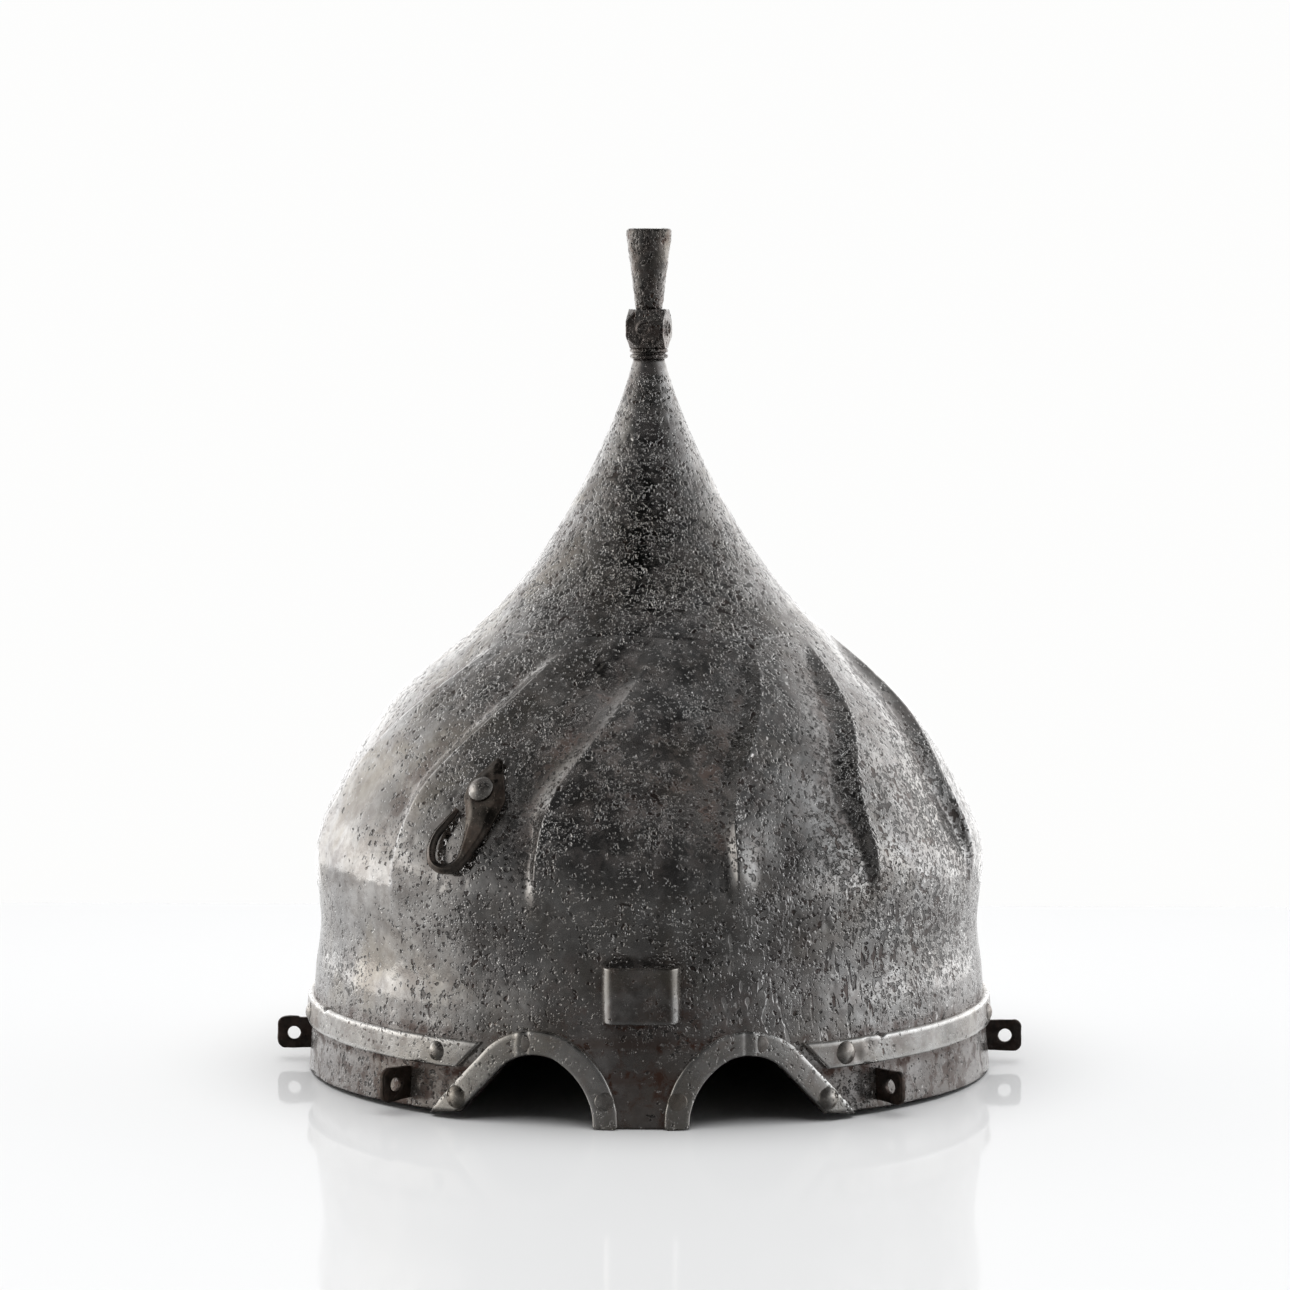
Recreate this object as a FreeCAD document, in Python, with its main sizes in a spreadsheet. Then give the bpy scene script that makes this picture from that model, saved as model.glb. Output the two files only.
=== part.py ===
import FreeCAD, Part
import os
import Sketcher
from math import asin, atan, atan2, cos, degrees, exp, hypot, log1p, radians, sin

# A fluted turban helmet. Millimetres, +Z up. The origin is on the skull's axis in the plane of the
# rim, and the wearer faces -Y. An azimuth is measured round Z from the front, positive towards +X.

doc = FreeCAD.newDocument("turban_helmet")

SIZES = {
    # skull
    "wall": 1.7,
    "rim_radius": 119.3,
    "base_height": 36.0,
    "base_taper": 0.075,
    "apex_height": 247.0,
    "ceiling_height": 238.0,
    "flute_depth": 4.6,
    "flute_foot_height": 50.0,
    "flute_full_height": 76.0,
    "flute_fade_height": 147.0,
    "flute_top_height": 153.0,
    "riser_angle_low": 1.9,
    "riser_angle_high": 5.0,
    "twist_start": 108.0,
    "twist_softness": 5.0,
    "twist_per_mm": 0.46,
    "front_rise": 2.4,
    "nose_tab_reach": 25.0,
    "cutter_depth": 17.0,
    "cutter_length": 40.0,
    "hollow_overshoot": 4.0,
    # eye cut-outs and their bands
    "eye_azimuth": 16.6,
    "eye_plane_inset": 24.0,
    "brow_width": 8.0,
    "brow_thickness": 1.9,
    "brow_rivet_radius": 3.1,
    "brow_rivet_dome": 1.5,
    "brow_shank_radius": 1.3,
    # rim band
    "band_bottom": 17.4,
    "band_height": 9.2,
    "band_thickness": 2.0,
    "band_gap": 2.2,
    "band_rivet_radius": 2.9,
    "band_rivet_dome": 1.5,
    "band_shank_radius": 1.3,
    "clench_height": 0.9,
    "clench_spread": 1.7,
    "shank_slack": 0.05,
    # pierced lugs
    "lug_outer_radius": 131.0,
    "lug_height": 11.4,
    "lug_thickness": 2.0,
    "lug_centre_height": 9.8,
    "lug_hole_radius": 2.35,
    "lug_hole_inset": 5.9,
    "lug_corner": 3.0,
    "lug_tang_height": 6.6,
    "lug_tang_inside": 2.2,
    "lug_root_overlap": 2.0,
    "lug_tang_overlap": 1.0,
    "lug_clench_gap": 0.3,
    "lug_clench_width": 4.4,
    "lug_clench_height": 4.62,
    # nasal bracket
    "bracket_bottom": 35.0,
    "bracket_height": 18.5,
    "bracket_width": 26.5,
    "bracket_face_width": 19.0,
    "bracket_front": 123.3,
    "bracket_foot": 112.0,
    "bracket_thickness": 1.9,
    "bracket_bend_inset": 0.85,
    "bracket_bend_radius": 2.45,
    "bracket_side_thickness": 2.1,
    "bracket_tang_height": 8.0,
    "bracket_tang_width": 2.0,
    "bracket_tang_inset": 0.4,
    "bracket_tang_inside": 110.8,
    "bracket_clench": 1.5,
    # hook and its rivet
    "hook_azimuth": -30.4,
    "hook_height": 106.4,
    "hook_thickness": 2.4,
    "hook_clearance": 0.45,
    "hook_bore_radius": 2.06,
    "pivot_radius": 2.0,
    "pivot_head_radius": 4.4,
    "pivot_head_dome": 2.4,
    "pivot_gap": 0.35,
    "hook_rove_radius": 4.2,
    "hook_rove_thickness": 1.0,
    "hook_rove_gap": 0.12,
    # finial
    "stem_radius": 2.4,
    "stem_head_radius": 3.7,
    "stem_head_height": 1.6,
    "stem_head_edge": 0.6,
    "stem_bore_below": 20.0,
    "stem_bore_above": 40.0,
    "rove_thickness": 1.6,
    "finial_rove_radius": 5.2,
    "collar_radius": 6.7,
    "collar_neck_radius": 5.7,
    "collar_height": 3.6,
    "collar_bead": 1.4,
    "collar_edge": 0.5,
    "collar_throat": 0.25,
    "knop_width": 13.4,
    "knop_height": 13.5,
    "knop_bevel": 2.4,
    "knop_azimuth": -13.0,
    "stem_neck_radius": 4.65,
    "flare_radius": 7.9,
    "flare_height": 26.7,
    "flare_cap_radius": 7.2,
    "flare_cap_height": 1.2,
}

TOLERANCE = 1e-6
SEWING_TOLERANCE = 1e-4

# How far below the profile's first station its slope is taken on the plain cone.
LEAD_IN = 9.0

# Height and outer radius at the crests, from the top of the plain base up to the apex.
PROFILE = [
    (36.0, 116.6),
    (45.0, 115.3),
    (53.0, 114.8),
    (60.0, 115.5),
    (67.0, 116.8),
    (75.0, 118.0),
    (83.0, 117.4),
    (92.0, 114.2),
    (104.0, 107.6),
    (117.0, 98.9),
    (130.0, 88.0),
    (142.0, 74.3),
    (153.0, 60.9),
    (167.0, 46.9),
    (184.0, 34.4),
    (201.0, 24.3),
    (218.0, 16.0),
    (234.0, 9.4),
    (247.0, 5.4),
]

# Azimuth of each hammered crest below the twist, in degrees. The spacing is uneven by hand.
CRESTS = [-73.5, -45.4, -17.4, 15.6, 41.5, 71.5, 103.0, 132.0, 163.0, 194.0, 223.0, 255.0]

# Outline of the left eye cut-out on its own vertical plane, +X towards the nose. It starts and ends
# below the rim. Each row is a straight run's end, or an arc's middle and end.
EYE_START = (19.2, -5.0)
EYE_RUNS = [
    [(18.6, 4.0)],
    [(14.9, 13.6), (5.0, 22.4)],
    [(-4.0, 23.0), (-12.5, 18.6)],
    [(-35.0, -5.0)],
]

# Rivets of the left brow band on the same plane: at the outer end, on top and beside the nose.
BROW_RIVETS = [(-28.6, 7.6), (-5.0, 27.0), (22.6, 9.2)]

RIM_RIVETS = [-34.6, 34.0, -78.0, 80.0, -128.0, 126.0, 178.0]

# Outline of the hook in its own plane, +Y up the skull, with the rivet at the origin. Each row is a
# straight run's end, or an arc's middle and end, clockwise from the arrow's tip.
HOOK_START = (2.8, 12.0)
HOOK_RUNS = [
    [(4.6, 11.0)],
    [(9.1, -3.0)],
    [(5.9, -13.4), (0.8, -25.4)],
    [(-7.2, -30.2), (-14.4, -24.6)],
    [(-15.0, -18.6), (-12.2, -12.4)],
    [(-8.4, -6.4)],
    [(-6.8, -7.4)],
    [(-9.8, -14.0)],
    [(-12.0, -18.8), (-11.6, -23.6)],
    [(-7.4, -26.8), (-3.3, -23.2)],
    [(-3.0, -13.6), (-6.2, -3.0)],
    [(-5.4, 2.8)],
]

LUGS = {
    "lug_front_left": -41.0,
    "lug_front_right": 41.0,
    "lug_left": -90.0,
    "lug_right": 90.0,
    "lug_rear_left": -135.0,
    "lug_rear_right": 135.0,
    "lug_rear": 180.0,
}

sheet = doc.addObject("Spreadsheet::Sheet", "Sizes")
for row, (alias, value) in enumerate(SIZES.items(), start=1):
    sheet.set(f"A{row}", alias.replace("_", " "))
    sheet.set(f"B{row}", str(value))
    sheet.setAlias(f"B{row}", alias)
doc.recompute()

nodes = []


# ---------------------------------------------------------------- helpers


def size(alias):
    return float(sheet.get(alias))


def bound(kind, name, **expressions):
    """A document object whose properties follow expressions on the sheet."""
    thing = doc.addObject(kind, name)
    for prop, expression in expressions.items():
        thing.setExpression(prop, expression)
    return thing


def place(thing, base, rotation=None):
    thing.Placement = FreeCAD.Placement(FreeCAD.Vector(*base), rotation or FreeCAD.Rotation())
    return thing


def cut(name, base, tool):
    result = doc.addObject("Part::Cut", name)
    result.Base = base
    result.Tool = tool
    return result


def common(name, base, tool):
    result = doc.addObject("Part::Common", name)
    result.Base = base
    result.Tool = tool
    return result


def fuse(name, shapes):
    result = doc.addObject("Part::MultiFuse", name)
    result.Shapes = shapes
    return result


def group(name, shapes):
    result = doc.addObject("Part::Compound", name)
    result.Links = shapes
    return result


def node(thing, label):
    """Marks a finished piece: its Label names its file."""
    thing.Label = label
    nodes.append(thing)
    return thing


def outward(azimuth):
    """Turns local +X to point away from the axis at this azimuth."""
    return FreeCAD.Rotation(FreeCAD.Vector(0, 0, 1), azimuth - 90)


def point_at(azimuth, radius, height):
    angle = radians(azimuth)
    return (radius * sin(angle), -radius * cos(angle), height)


def base_radius(height):
    """Outer radius of the plain conical base."""
    return size("rim_radius") - size("base_taper") * height


def revolved(name, outline):
    """A PartDesign body turned about Z from (radius, height) corners given as expressions."""
    body = doc.addObject("PartDesign::Body", name)
    plane = next(f for f in body.Origin.OriginFeatures if f.Role == "XZ_Plane")
    sketch = body.newObject("Sketcher::SketchObject", name + "_section")
    sketch.AttachmentSupport = [(plane, "")]
    sketch.MapMode = "FlatFace"
    corners = []
    for radius, height in outline:
        x = float(sheet.evalExpression(radius))
        y = float(sheet.evalExpression(height))
        corners.append(FreeCAD.Vector(x, y, 0))
    count = len(corners)
    for i in range(count):
        sketch.addGeometry(Part.LineSegment(corners[i], corners[(i + 1) % count]), False)
    for i in range(count):
        sketch.addConstraint(Sketcher.Constraint("Coincident", i, 2, (i + 1) % count, 1))
    for i, (radius, height) in enumerate(outline):
        for kind, value, expression in (
            ("DistanceX", corners[i].x, radius),
            ("DistanceY", corners[i].y, height),
        ):
            index = sketch.addConstraint(Sketcher.Constraint(kind, -1, 1, i, 1, value))
            sketch.setExpression(f"Constraints[{index}]", expression)
    turn = body.newObject("PartDesign::Revolution", name + "_turn")
    turn.Profile = sketch
    turn.ReferenceAxis = (sketch, ["V_Axis"])
    turn.Angle = 360
    return body


def rivet_parts(name, base, rotation, head, shank, start, length, clench):
    """Head, shank and clenched end along local +X, whose zero is on the seat of the head."""
    radius, rise = head
    along = FreeCAD.Rotation(FreeCAD.Vector(0, 1, 0), 90)
    seat = FreeCAD.Placement(FreeCAD.Vector(*base), rotation)

    def set_on_axis(thing, offset):
        turned = FreeCAD.Placement(FreeCAD.Vector(offset, 0, 0), along)
        thing.Placement = seat.multiply(turned)
        return thing

    ball = f"(({radius})^2 + ({rise})^2) / (2 * ({rise}))"
    dome = bound("Part::Sphere", name + "_dome", Radius=ball, Angle1=f"asin(1 - ({rise}) / ({ball}))")
    dome.Angle2 = 90
    drop = float(sheet.evalExpression(f"({ball}) - ({rise})"))
    set_on_axis(dome, -drop)
    shaft = bound("Part::Cylinder", name + "_shank", Radius=shank, Height=length)
    set_on_axis(shaft, start)
    spread = f"Sizes.clench_spread * ({shank})"
    end = bound("Part::Cylinder", name + "_clench", Radius=spread, Height=clench)
    set_on_axis(end, start - float(sheet.evalExpression(clench)))
    return dome, shaft, end


# ---------------------------------------------------------------- skull


def profile_radius(height):
    """Outer radius at a crest: a plain cone below, then a smooth curve through PROFILE."""
    if height <= PROFILE[0][0]:
        return base_radius(height)
    lead = PROFILE[0][0] - LEAD_IN
    stations = [(lead, base_radius(lead))] + PROFILE
    last = len(stations) - 1
    i = 1
    while i < last - 1 and height > stations[i + 1][0]:
        i += 1

    def slope(k):
        low, high = max(k - 1, 0), min(k + 1, last)
        return (stations[high][1] - stations[low][1]) / (stations[high][0] - stations[low][0])

    (z0, r0), (z1, r1) = stations[i], stations[i + 1]
    span = z1 - z0
    u = (height - z0) / span
    rise = r0 * (1 + 2 * u) * (1 - u) ** 2 + r1 * u * u * (3 - 2 * u)
    return rise + span * (slope(i) * u * (1 - u) ** 2 + slope(i + 1) * u * u * (u - 1))


def smooth_step(value, low, high):
    u = min(max((value - low) / (high - low), 0.0), 1.0)
    return u * u * (3 - 2 * u)


def flute_depth(height):
    rising = smooth_step(height, size("flute_foot_height"), size("flute_full_height"))
    fading = smooth_step(height, size("flute_top_height"), size("flute_fade_height"))
    return size("flute_depth") * rising * fading


def riser_angle(height):
    """Angle that a riser takes up: narrow at the foot of the flutes, broad on the shoulder."""
    low, high = size("riser_angle_low"), size("riser_angle_high")
    return low + (high - low) * smooth_step(height, size("flute_full_height"), size("twist_start"))


def twist(height):
    """Degrees that a crest has turned from its straight lower part at this height."""
    softness = size("twist_softness")
    limited = min(height, size("flute_top_height"))
    above = (limited - size("twist_start")) / softness
    return size("twist_per_mm") * softness * log1p(exp(above))


def wall_offset(height, inset):
    """Radial offset that gives the wall its thickness on a sloping profile."""
    slope = profile_radius(height + 0.5) - profile_radius(height - 0.5)
    return inset * hypot(1.0, slope)


def fluted_solid(inset, bottom, top):
    """Solid inside the fluted surface, offset inwards by inset, between two heights."""
    rows = 66
    degree = 3
    heights = [bottom + (top - bottom) * i / (rows - 1) for i in range(rows)]
    spans = rows - degree
    along_knots = [i / spans for i in range(spans + 1)]
    along_mults = [degree + 1] + [1] * (spans - 1) + [degree + 1]

    def pole(azimuth, height, share, spread):
        radius = profile_radius(height) - wall_offset(height, inset) - share * flute_depth(height)
        return FreeCAD.Vector(*point_at(azimuth + twist(height), radius / spread, height))

    def strip(start, end, start_share, end_share):
        """Circular arcs between two lines whose azimuth depends on the height."""
        poles = [[], [], []]
        weights = [[], [], []]
        for h in heights:
            first, last = start(h), end(h)
            spread = cos(radians(last - first) / 2)
            for column, azimuth, share, weight in (
                (0, first, start_share, 1.0),
                (1, (first + last) / 2, (start_share + end_share) / 2, spread),
                (2, last, end_share, 1.0),
            ):
                poles[column].append(pole(azimuth, h, share, weight))
                weights[column].append(weight)
        surface = Part.BSplineSurface()
        surface.buildFromPolesMultsKnots(
            poles, [3, 3], along_mults, [0.0, 1.0], along_knots, False, False, 2, degree, weights
        )
        return surface.toShape()

    faces = []
    count = len(CRESTS)
    for i, crest in enumerate(CRESTS):
        following = CRESTS[(i + 1) % count] + (360 if i == count - 1 else 0)

        def line(azimuth, riser_share=0.0):
            return lambda height: azimuth - riser_share * riser_angle(height)

        faces.append(strip(line(crest), line(following, 1.0), 0.0, 1.0))
        faces.append(strip(line(following, 1.0), line(following), 1.0, 0.0))
    for level in (bottom, top):
        edges = [e for f in faces for e in f.Edges if abs(e.BoundBox.ZMin - level) < TOLERANCE
                 and abs(e.BoundBox.ZMax - level) < TOLERANCE]
        faces.append(Part.Face(Part.Wire(Part.__sortEdges__(edges))))
    shell = Part.makeShell(faces)
    shell.sewShape(SEWING_TOLERANCE)
    solid = Part.Solid(Part.Shell(shell.Faces))
    if solid.Volume < 0:
        solid.reverse()
    return solid


def shaped(name, shape):
    feature = doc.addObject("Part::Feature", name)
    feature.Shape = shape
    return feature


def edges_of(thing, test):
    """Numbers of the object's edges that pass the test, as Fillet and Chamfer count them."""
    doc.recompute()
    return [i for i, edge in enumerate(thing.Shape.Edges, start=1) if test(edge)]


def outline_sketch(name, start, runs, placement):
    """A closed outline of straight runs and three-point arcs."""
    sketch = doc.addObject("Sketcher::SketchObject", name)
    draw_outline(sketch, start, runs)
    sketch.Placement = placement
    return sketch


def draw_outline(sketch, start, runs):
    points = [FreeCAD.Vector(*start, 0)]
    for run in runs + [[start]]:
        steps = [FreeCAD.Vector(*p, 0) for p in run]
        if len(steps) == 2:
            sketch.addGeometry(Part.Arc(points[-1], steps[0], steps[1]), False)
        else:
            sketch.addGeometry(Part.LineSegment(points[-1], steps[0]), False)
        points.append(steps[-1])


def facing(azimuth, tilt=0.0):
    """Local X along the skull, local Y up it and local Z straight out, leaning up by tilt."""
    a, t = radians(azimuth), radians(tilt)
    across = FreeCAD.Vector(cos(a), sin(a), 0)
    up = FreeCAD.Vector(-sin(a) * sin(t), cos(a) * sin(t), cos(t))
    out = FreeCAD.Vector(sin(a) * cos(t), -cos(a) * cos(t), sin(t))
    return FreeCAD.Rotation(across, up, out, "ZXY")


def prism(name, outline, length):
    solid = doc.addObject("Part::Extrusion", name)
    solid.Base = outline
    solid.DirMode = "Normal"
    solid.Solid = True
    solid.setExpression("LengthFwd", length)
    return solid


def mirrored(name, source):
    twin = doc.addObject("Part::Mirroring", name)
    twin.Source = source
    twin.Normal = (1, 0, 0)
    return twin


def base_cone(name, extra, bottom, height):
    """A solid cone parallel to the plain base, larger in radius by extra."""
    radius = f"Sizes.rim_radius + {extra} - Sizes.base_taper * ({bottom})"
    cone = bound(
        "Part::Cone", name, Radius1=radius, Height=height,
        Radius2=f"{radius} - Sizes.base_taper * ({height})",
    )
    cone.setExpression(".Placement.Base.z", bottom)
    return cone


envelope = shaped("skull_envelope", fluted_solid(0.0, 0.0, size("apex_height")))
hollow = shaped(
    "skull_hollow",
    fluted_solid(size("wall"), -size("hollow_overshoot"), size("ceiling_height")),
)
bowl = cut("skull_bowl", envelope, hollow)
base_core = base_cone("base_core", "0", "0", "Sizes.base_height")

# The rim rises towards the front, except at the nose tab.
front_slab = bound(
    "Part::Box", "front_slab", Length="2 * Sizes.lug_outer_radius", Width="Sizes.lug_outer_radius",
    Height="Sizes.cutter_depth",
)
rise_angle = degrees(atan2(size("front_rise"), size("rim_radius")))
rise = FreeCAD.Rotation(FreeCAD.Vector(1, 0, 0), -rise_angle)
corner = rise.multVec(FreeCAD.Vector(
    -size("lug_outer_radius"), -size("lug_outer_radius"), -size("cutter_depth")))
place(front_slab, corner, rise)
tab_block = bound(
    "Part::Box", "tab_block", Length="2 * Sizes.nose_tab_reach", Width="Sizes.lug_outer_radius",
    Height="2 * Sizes.cutter_depth",
)
place(tab_block, (-size("nose_tab_reach"), -size("lug_outer_radius"), -size("cutter_depth")))
front_cutter = cut("front_cutter", front_slab, tab_block)


# ---------------------------------------------------------------- eye cut-outs and brow bands

eye_plane = FreeCAD.Placement(
    FreeCAD.Vector(*point_at(-size("eye_azimuth"), size("rim_radius") - size("eye_plane_inset"), 0)),
    facing(-size("eye_azimuth")),
)
eye_outline = outline_sketch("eye_outline", EYE_START, EYE_RUNS, eye_plane)
brow_outline = bound("Part::Offset2D", "brow_outline", Value="Sizes.brow_width")
brow_outline.Source = eye_outline
gap_outline = bound("Part::Offset2D", "gap_outline", Value="Sizes.brow_width + Sizes.band_gap")
gap_outline.Source = eye_outline
eye_left = prism("eye_cutter_left", eye_outline, "Sizes.cutter_length")
eye_right = mirrored("eye_cutter_right", eye_left)
brow_prism = prism("brow_prism", brow_outline, "Sizes.cutter_length")
brow_shell = cut(
    "brow_shell",
    base_cone("brow_cone", "Sizes.brow_thickness", "0", "Sizes.base_height"),
    base_core,
)
brow_strip = cut("brow_strip", common("brow_cap", brow_prism, brow_shell), eye_left)
brow_blank = cut("brow_blank", brow_strip, front_cutter)
brow_blank_right = mirrored("brow_blank_right", brow_blank)


def cone_rivet(name, azimuth, height, thickness, head, shank):
    """A rivet through a strip on the conical base, seated on the strip's outer face."""
    tilt = degrees(atan(size("base_taper")))
    rotation = outward(azimuth).multiply(FreeCAD.Rotation(FreeCAD.Vector(0, 1, 0), -tilt))
    seat = point_at(azimuth, base_radius(height) + size(thickness), height)
    length = f"Sizes.{thickness} + Sizes.wall + Sizes.shank_slack"
    start = -(size(thickness) + size("wall") + size("shank_slack"))
    return rivet_parts(name, seat, rotation, head, shank, start, length, "Sizes.clench_height")


brow_head = ("Sizes.brow_rivet_radius", "Sizes.brow_rivet_dome")
brow_shanks = {}
for side, sign in (("left", 1), ("right", -1)):
    rivets = []
    shanks = []
    for i, (across, height) in enumerate(BROW_RIVETS, start=1):
        turn = degrees(asin(across / size("rim_radius")))
        azimuth = sign * (turn - size("eye_azimuth"))
        parts = cone_rivet(
            f"brow_{side}_{i}", azimuth, height, "brow_thickness", brow_head, "Sizes.brow_shank_radius"
        )
        shanks.append(parts[1])
        rivets.append(fuse(f"brow_{side}_{i}_rivet", list(parts)))
    brow_shanks[side] = group(f"brow_{side}_shanks", shanks)
    node(group(f"brow_{side}_rivets", rivets), f"brow_rivets_{side}")
node(cut("brow_left", brow_blank, brow_shanks["left"]), "brow_band_left")
node(cut("brow_right", brow_blank_right, brow_shanks["right"]), "brow_band_right")


# ---------------------------------------------------------------- rim band

band_shell = cut(
    "band_shell",
    base_cone("band_outer", "Sizes.band_thickness", "Sizes.band_bottom", "Sizes.band_height"),
    base_core,
)
gap_left = prism("gap_left", gap_outline, "Sizes.cutter_length")
gap_right = mirrored("gap_right", gap_left)
front_block = bound(
    "Part::Box", "front_block", Length="2 * Sizes.nose_tab_reach", Width="Sizes.lug_outer_radius",
    Height="2 * Sizes.base_height",
)
place(front_block, (-size("nose_tab_reach"), -size("lug_outer_radius"), 0))
band_blank = cut("band_blank", band_shell, fuse("band_ends", [gap_left, gap_right, front_block]))
band_head = ("Sizes.band_rivet_radius", "Sizes.band_rivet_dome")
band_rivets = []
band_shanks = []
for i, azimuth in enumerate(RIM_RIVETS, start=1):
    middle = size("band_bottom") + size("band_height") / 2
    parts = cone_rivet(
        f"band_{i}", azimuth, middle, "band_thickness", band_head, "Sizes.band_shank_radius"
    )
    band_shanks.append(parts[1])
    band_rivets.append(fuse(f"band_{i}_rivet", list(parts)))
band_holes = group("band_holes", band_shanks)
node(cut("band", band_blank, band_holes), "rim_band")
node(group("band_rivet_group", band_rivets), "rim_band_rivets")


# ---------------------------------------------------------------- pierced lugs


def lug(name, azimuth):
    """A radial plate with a rounded outer end, its tang through the skull and the clench inside."""
    height = size("lug_centre_height")
    radius = base_radius(height)
    inner = radius - size("wall")
    turn = outward(azimuth)

    def block(suffix, start, length, width, tall):
        box = bound("Part::Box", f"{name}_{suffix}", Length=length, Width=width, Height=tall)
        half_width = float(sheet.evalExpression(width)) / 2
        half_height = float(sheet.evalExpression(tall)) / 2
        offset = turn.multVec(FreeCAD.Vector(start, -half_width, height - half_height))
        return place(box, offset, turn)

    reach = size("lug_outer_radius") - radius + size("lug_root_overlap")
    plate = block(
        "plate", size("lug_outer_radius") - reach, f"{reach}", "Sizes.lug_thickness", "Sizes.lug_height"
    )
    out = turn.multVec(FreeCAD.Vector(1, 0, 0))
    far = size("lug_outer_radius") - SEWING_TOLERANCE

    def outer_corner(edge):
        ends = [v.Point for v in edge.Vertexes]
        level = abs(ends[0].z - ends[1].z) < TOLERANCE
        return level and all(p.dot(out) > far for p in ends)

    rounded = doc.addObject("Part::Fillet", f"{name}_rounded")
    rounded.Base = plate
    corner_radius = size("lug_corner")
    rounded.Edges = [(i, corner_radius, corner_radius) for i in edges_of(plate, outer_corner)]
    seated = cut(f"{name}_seated", rounded, base_core)
    tang_length = radius - inner + size("lug_tang_inside") + size("lug_tang_overlap")
    tang = block(
        "tang", inner - size("lug_tang_inside"), f"{tang_length}", "Sizes.lug_thickness",
        "Sizes.lug_tang_height",
    )
    clench = block(
        "clench", inner - size("lug_tang_inside"), "Sizes.lug_tang_inside - Sizes.lug_clench_gap",
        "Sizes.lug_clench_width", "Sizes.lug_clench_height",
    )
    hole = bound(
        "Part::Cylinder", f"{name}_hole", Radius="Sizes.lug_hole_radius", Height="3 * Sizes.lug_thickness"
    )
    across = FreeCAD.Rotation(FreeCAD.Vector(1, 0, 0), -90)
    centre = FreeCAD.Vector(
        size("lug_outer_radius") - size("lug_hole_inset"), -1.5 * size("lug_thickness"), height
    )
    place(hole, turn.multVec(centre), turn.multiply(across))
    node(cut(f"{name}_pierced", fuse(f"{name}_blank", [seated, tang, clench]), hole), name)
    return tang


lug_tangs = [lug(name, azimuth) for name, azimuth in LUGS.items()]


# ---------------------------------------------------------------- nasal bracket


def bracket_body():
    """The strap's section in plan, padded upwards: a flat face with sides that slope to the skull."""
    body = doc.addObject("PartDesign::Body", "bracket_strap")
    plane = next(f for f in body.Origin.OriginFeatures if f.Role == "XY_Plane")
    sketch = body.newObject("Sketcher::SketchObject", "bracket_section")
    sketch.AttachmentSupport = [(plane, "")]
    sketch.MapMode = "FlatFace"
    half, face = size("bracket_width") / 2, size("bracket_face_width") / 2
    front, foot, thick = size("bracket_front"), size("bracket_foot"), size("bracket_thickness")
    bend, side = size("bracket_bend_inset"), size("bracket_side_thickness")
    draw_outline(sketch, (-half, -foot), [
        [(-face, -front)],
        [(face, -front)],
        [(half, -foot)],
        [(half - side, -foot)],
        [(face - bend, -front + thick)],
        [(bend - face, -front + thick)],
        [(side - half, -foot)],
    ])
    pad = body.newObject("PartDesign::Pad", "bracket_pad")
    pad.Profile = sketch
    pad.setExpression("Length", "Sizes.bracket_height")
    doc.recompute()
    bends = [
        f"Edge{i}" for i, edge in enumerate(pad.Shape.Edges, start=1)
        if abs(edge.Vertexes[0].Y + front) < TOLERANCE
        and abs(edge.Vertexes[-1].Y + front) < TOLERANCE
        and abs(edge.Vertexes[0].Z - edge.Vertexes[-1].Z) > 1
    ]
    rounding = body.newObject("PartDesign::Fillet", "bracket_bends")
    rounding.Base = (pad, bends)
    rounding.setExpression("Radius", "Sizes.bracket_bend_radius")
    body.Tip = rounding
    body.setExpression(".Placement.Base.z", "Sizes.bracket_bottom")
    return body


def bracket_tang(side, sign):
    """One leg of the bracket through the skull, and its clenched end."""
    low = size("bracket_bottom") + (size("bracket_height") - size("bracket_tang_height")) / 2
    outer = size("bracket_width") / 2 - size("bracket_tang_inset")
    width = size("bracket_tang_width")
    start = outer - width if sign > 0 else -outer
    wall_front = "Sizes.rim_radius - Sizes.base_taper * Sizes.base_height"
    leg = bound(
        "Part::Box", f"bracket_leg_{side}", Length="Sizes.bracket_tang_width",
        Width=f"{wall_front} - Sizes.bracket_tang_inside", Height="Sizes.bracket_tang_height",
    )
    place(leg, (start, -base_radius(size("base_height")), low))
    end = bound(
        "Part::Box", f"bracket_clench_{side}", Length="2 * Sizes.bracket_tang_width",
        Width="Sizes.bracket_clench", Height="Sizes.bracket_tang_height",
    )
    end_front = -size("bracket_tang_inside") - size("bracket_clench")
    place(end, (start - (width if sign > 0 else 0), end_front, low))
    return leg, end


strap = cut("bracket_seated", bracket_body(), envelope)
left_leg, left_clench = bracket_tang("left", -1)
right_leg, right_clench = bracket_tang("right", 1)
node(fuse("bracket", [strap, left_leg, left_clench, right_leg, right_clench]), "nasal_bracket")
bracket_legs = [left_leg, right_leg]


# ---------------------------------------------------------------- hook


def panel_radius(azimuth, height):
    """Outer radius of the fluted wall at an azimuth that lies on a panel."""
    turned = azimuth - twist(height)
    for i, crest in enumerate(CRESTS[:-1]):
        foot = CRESTS[i + 1] - riser_angle(height)
        if crest <= turned <= foot:
            share = (turned - crest) / (foot - crest)
            return profile_radius(height) - share * flute_depth(height)
    raise ValueError("no panel at this azimuth")


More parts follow.
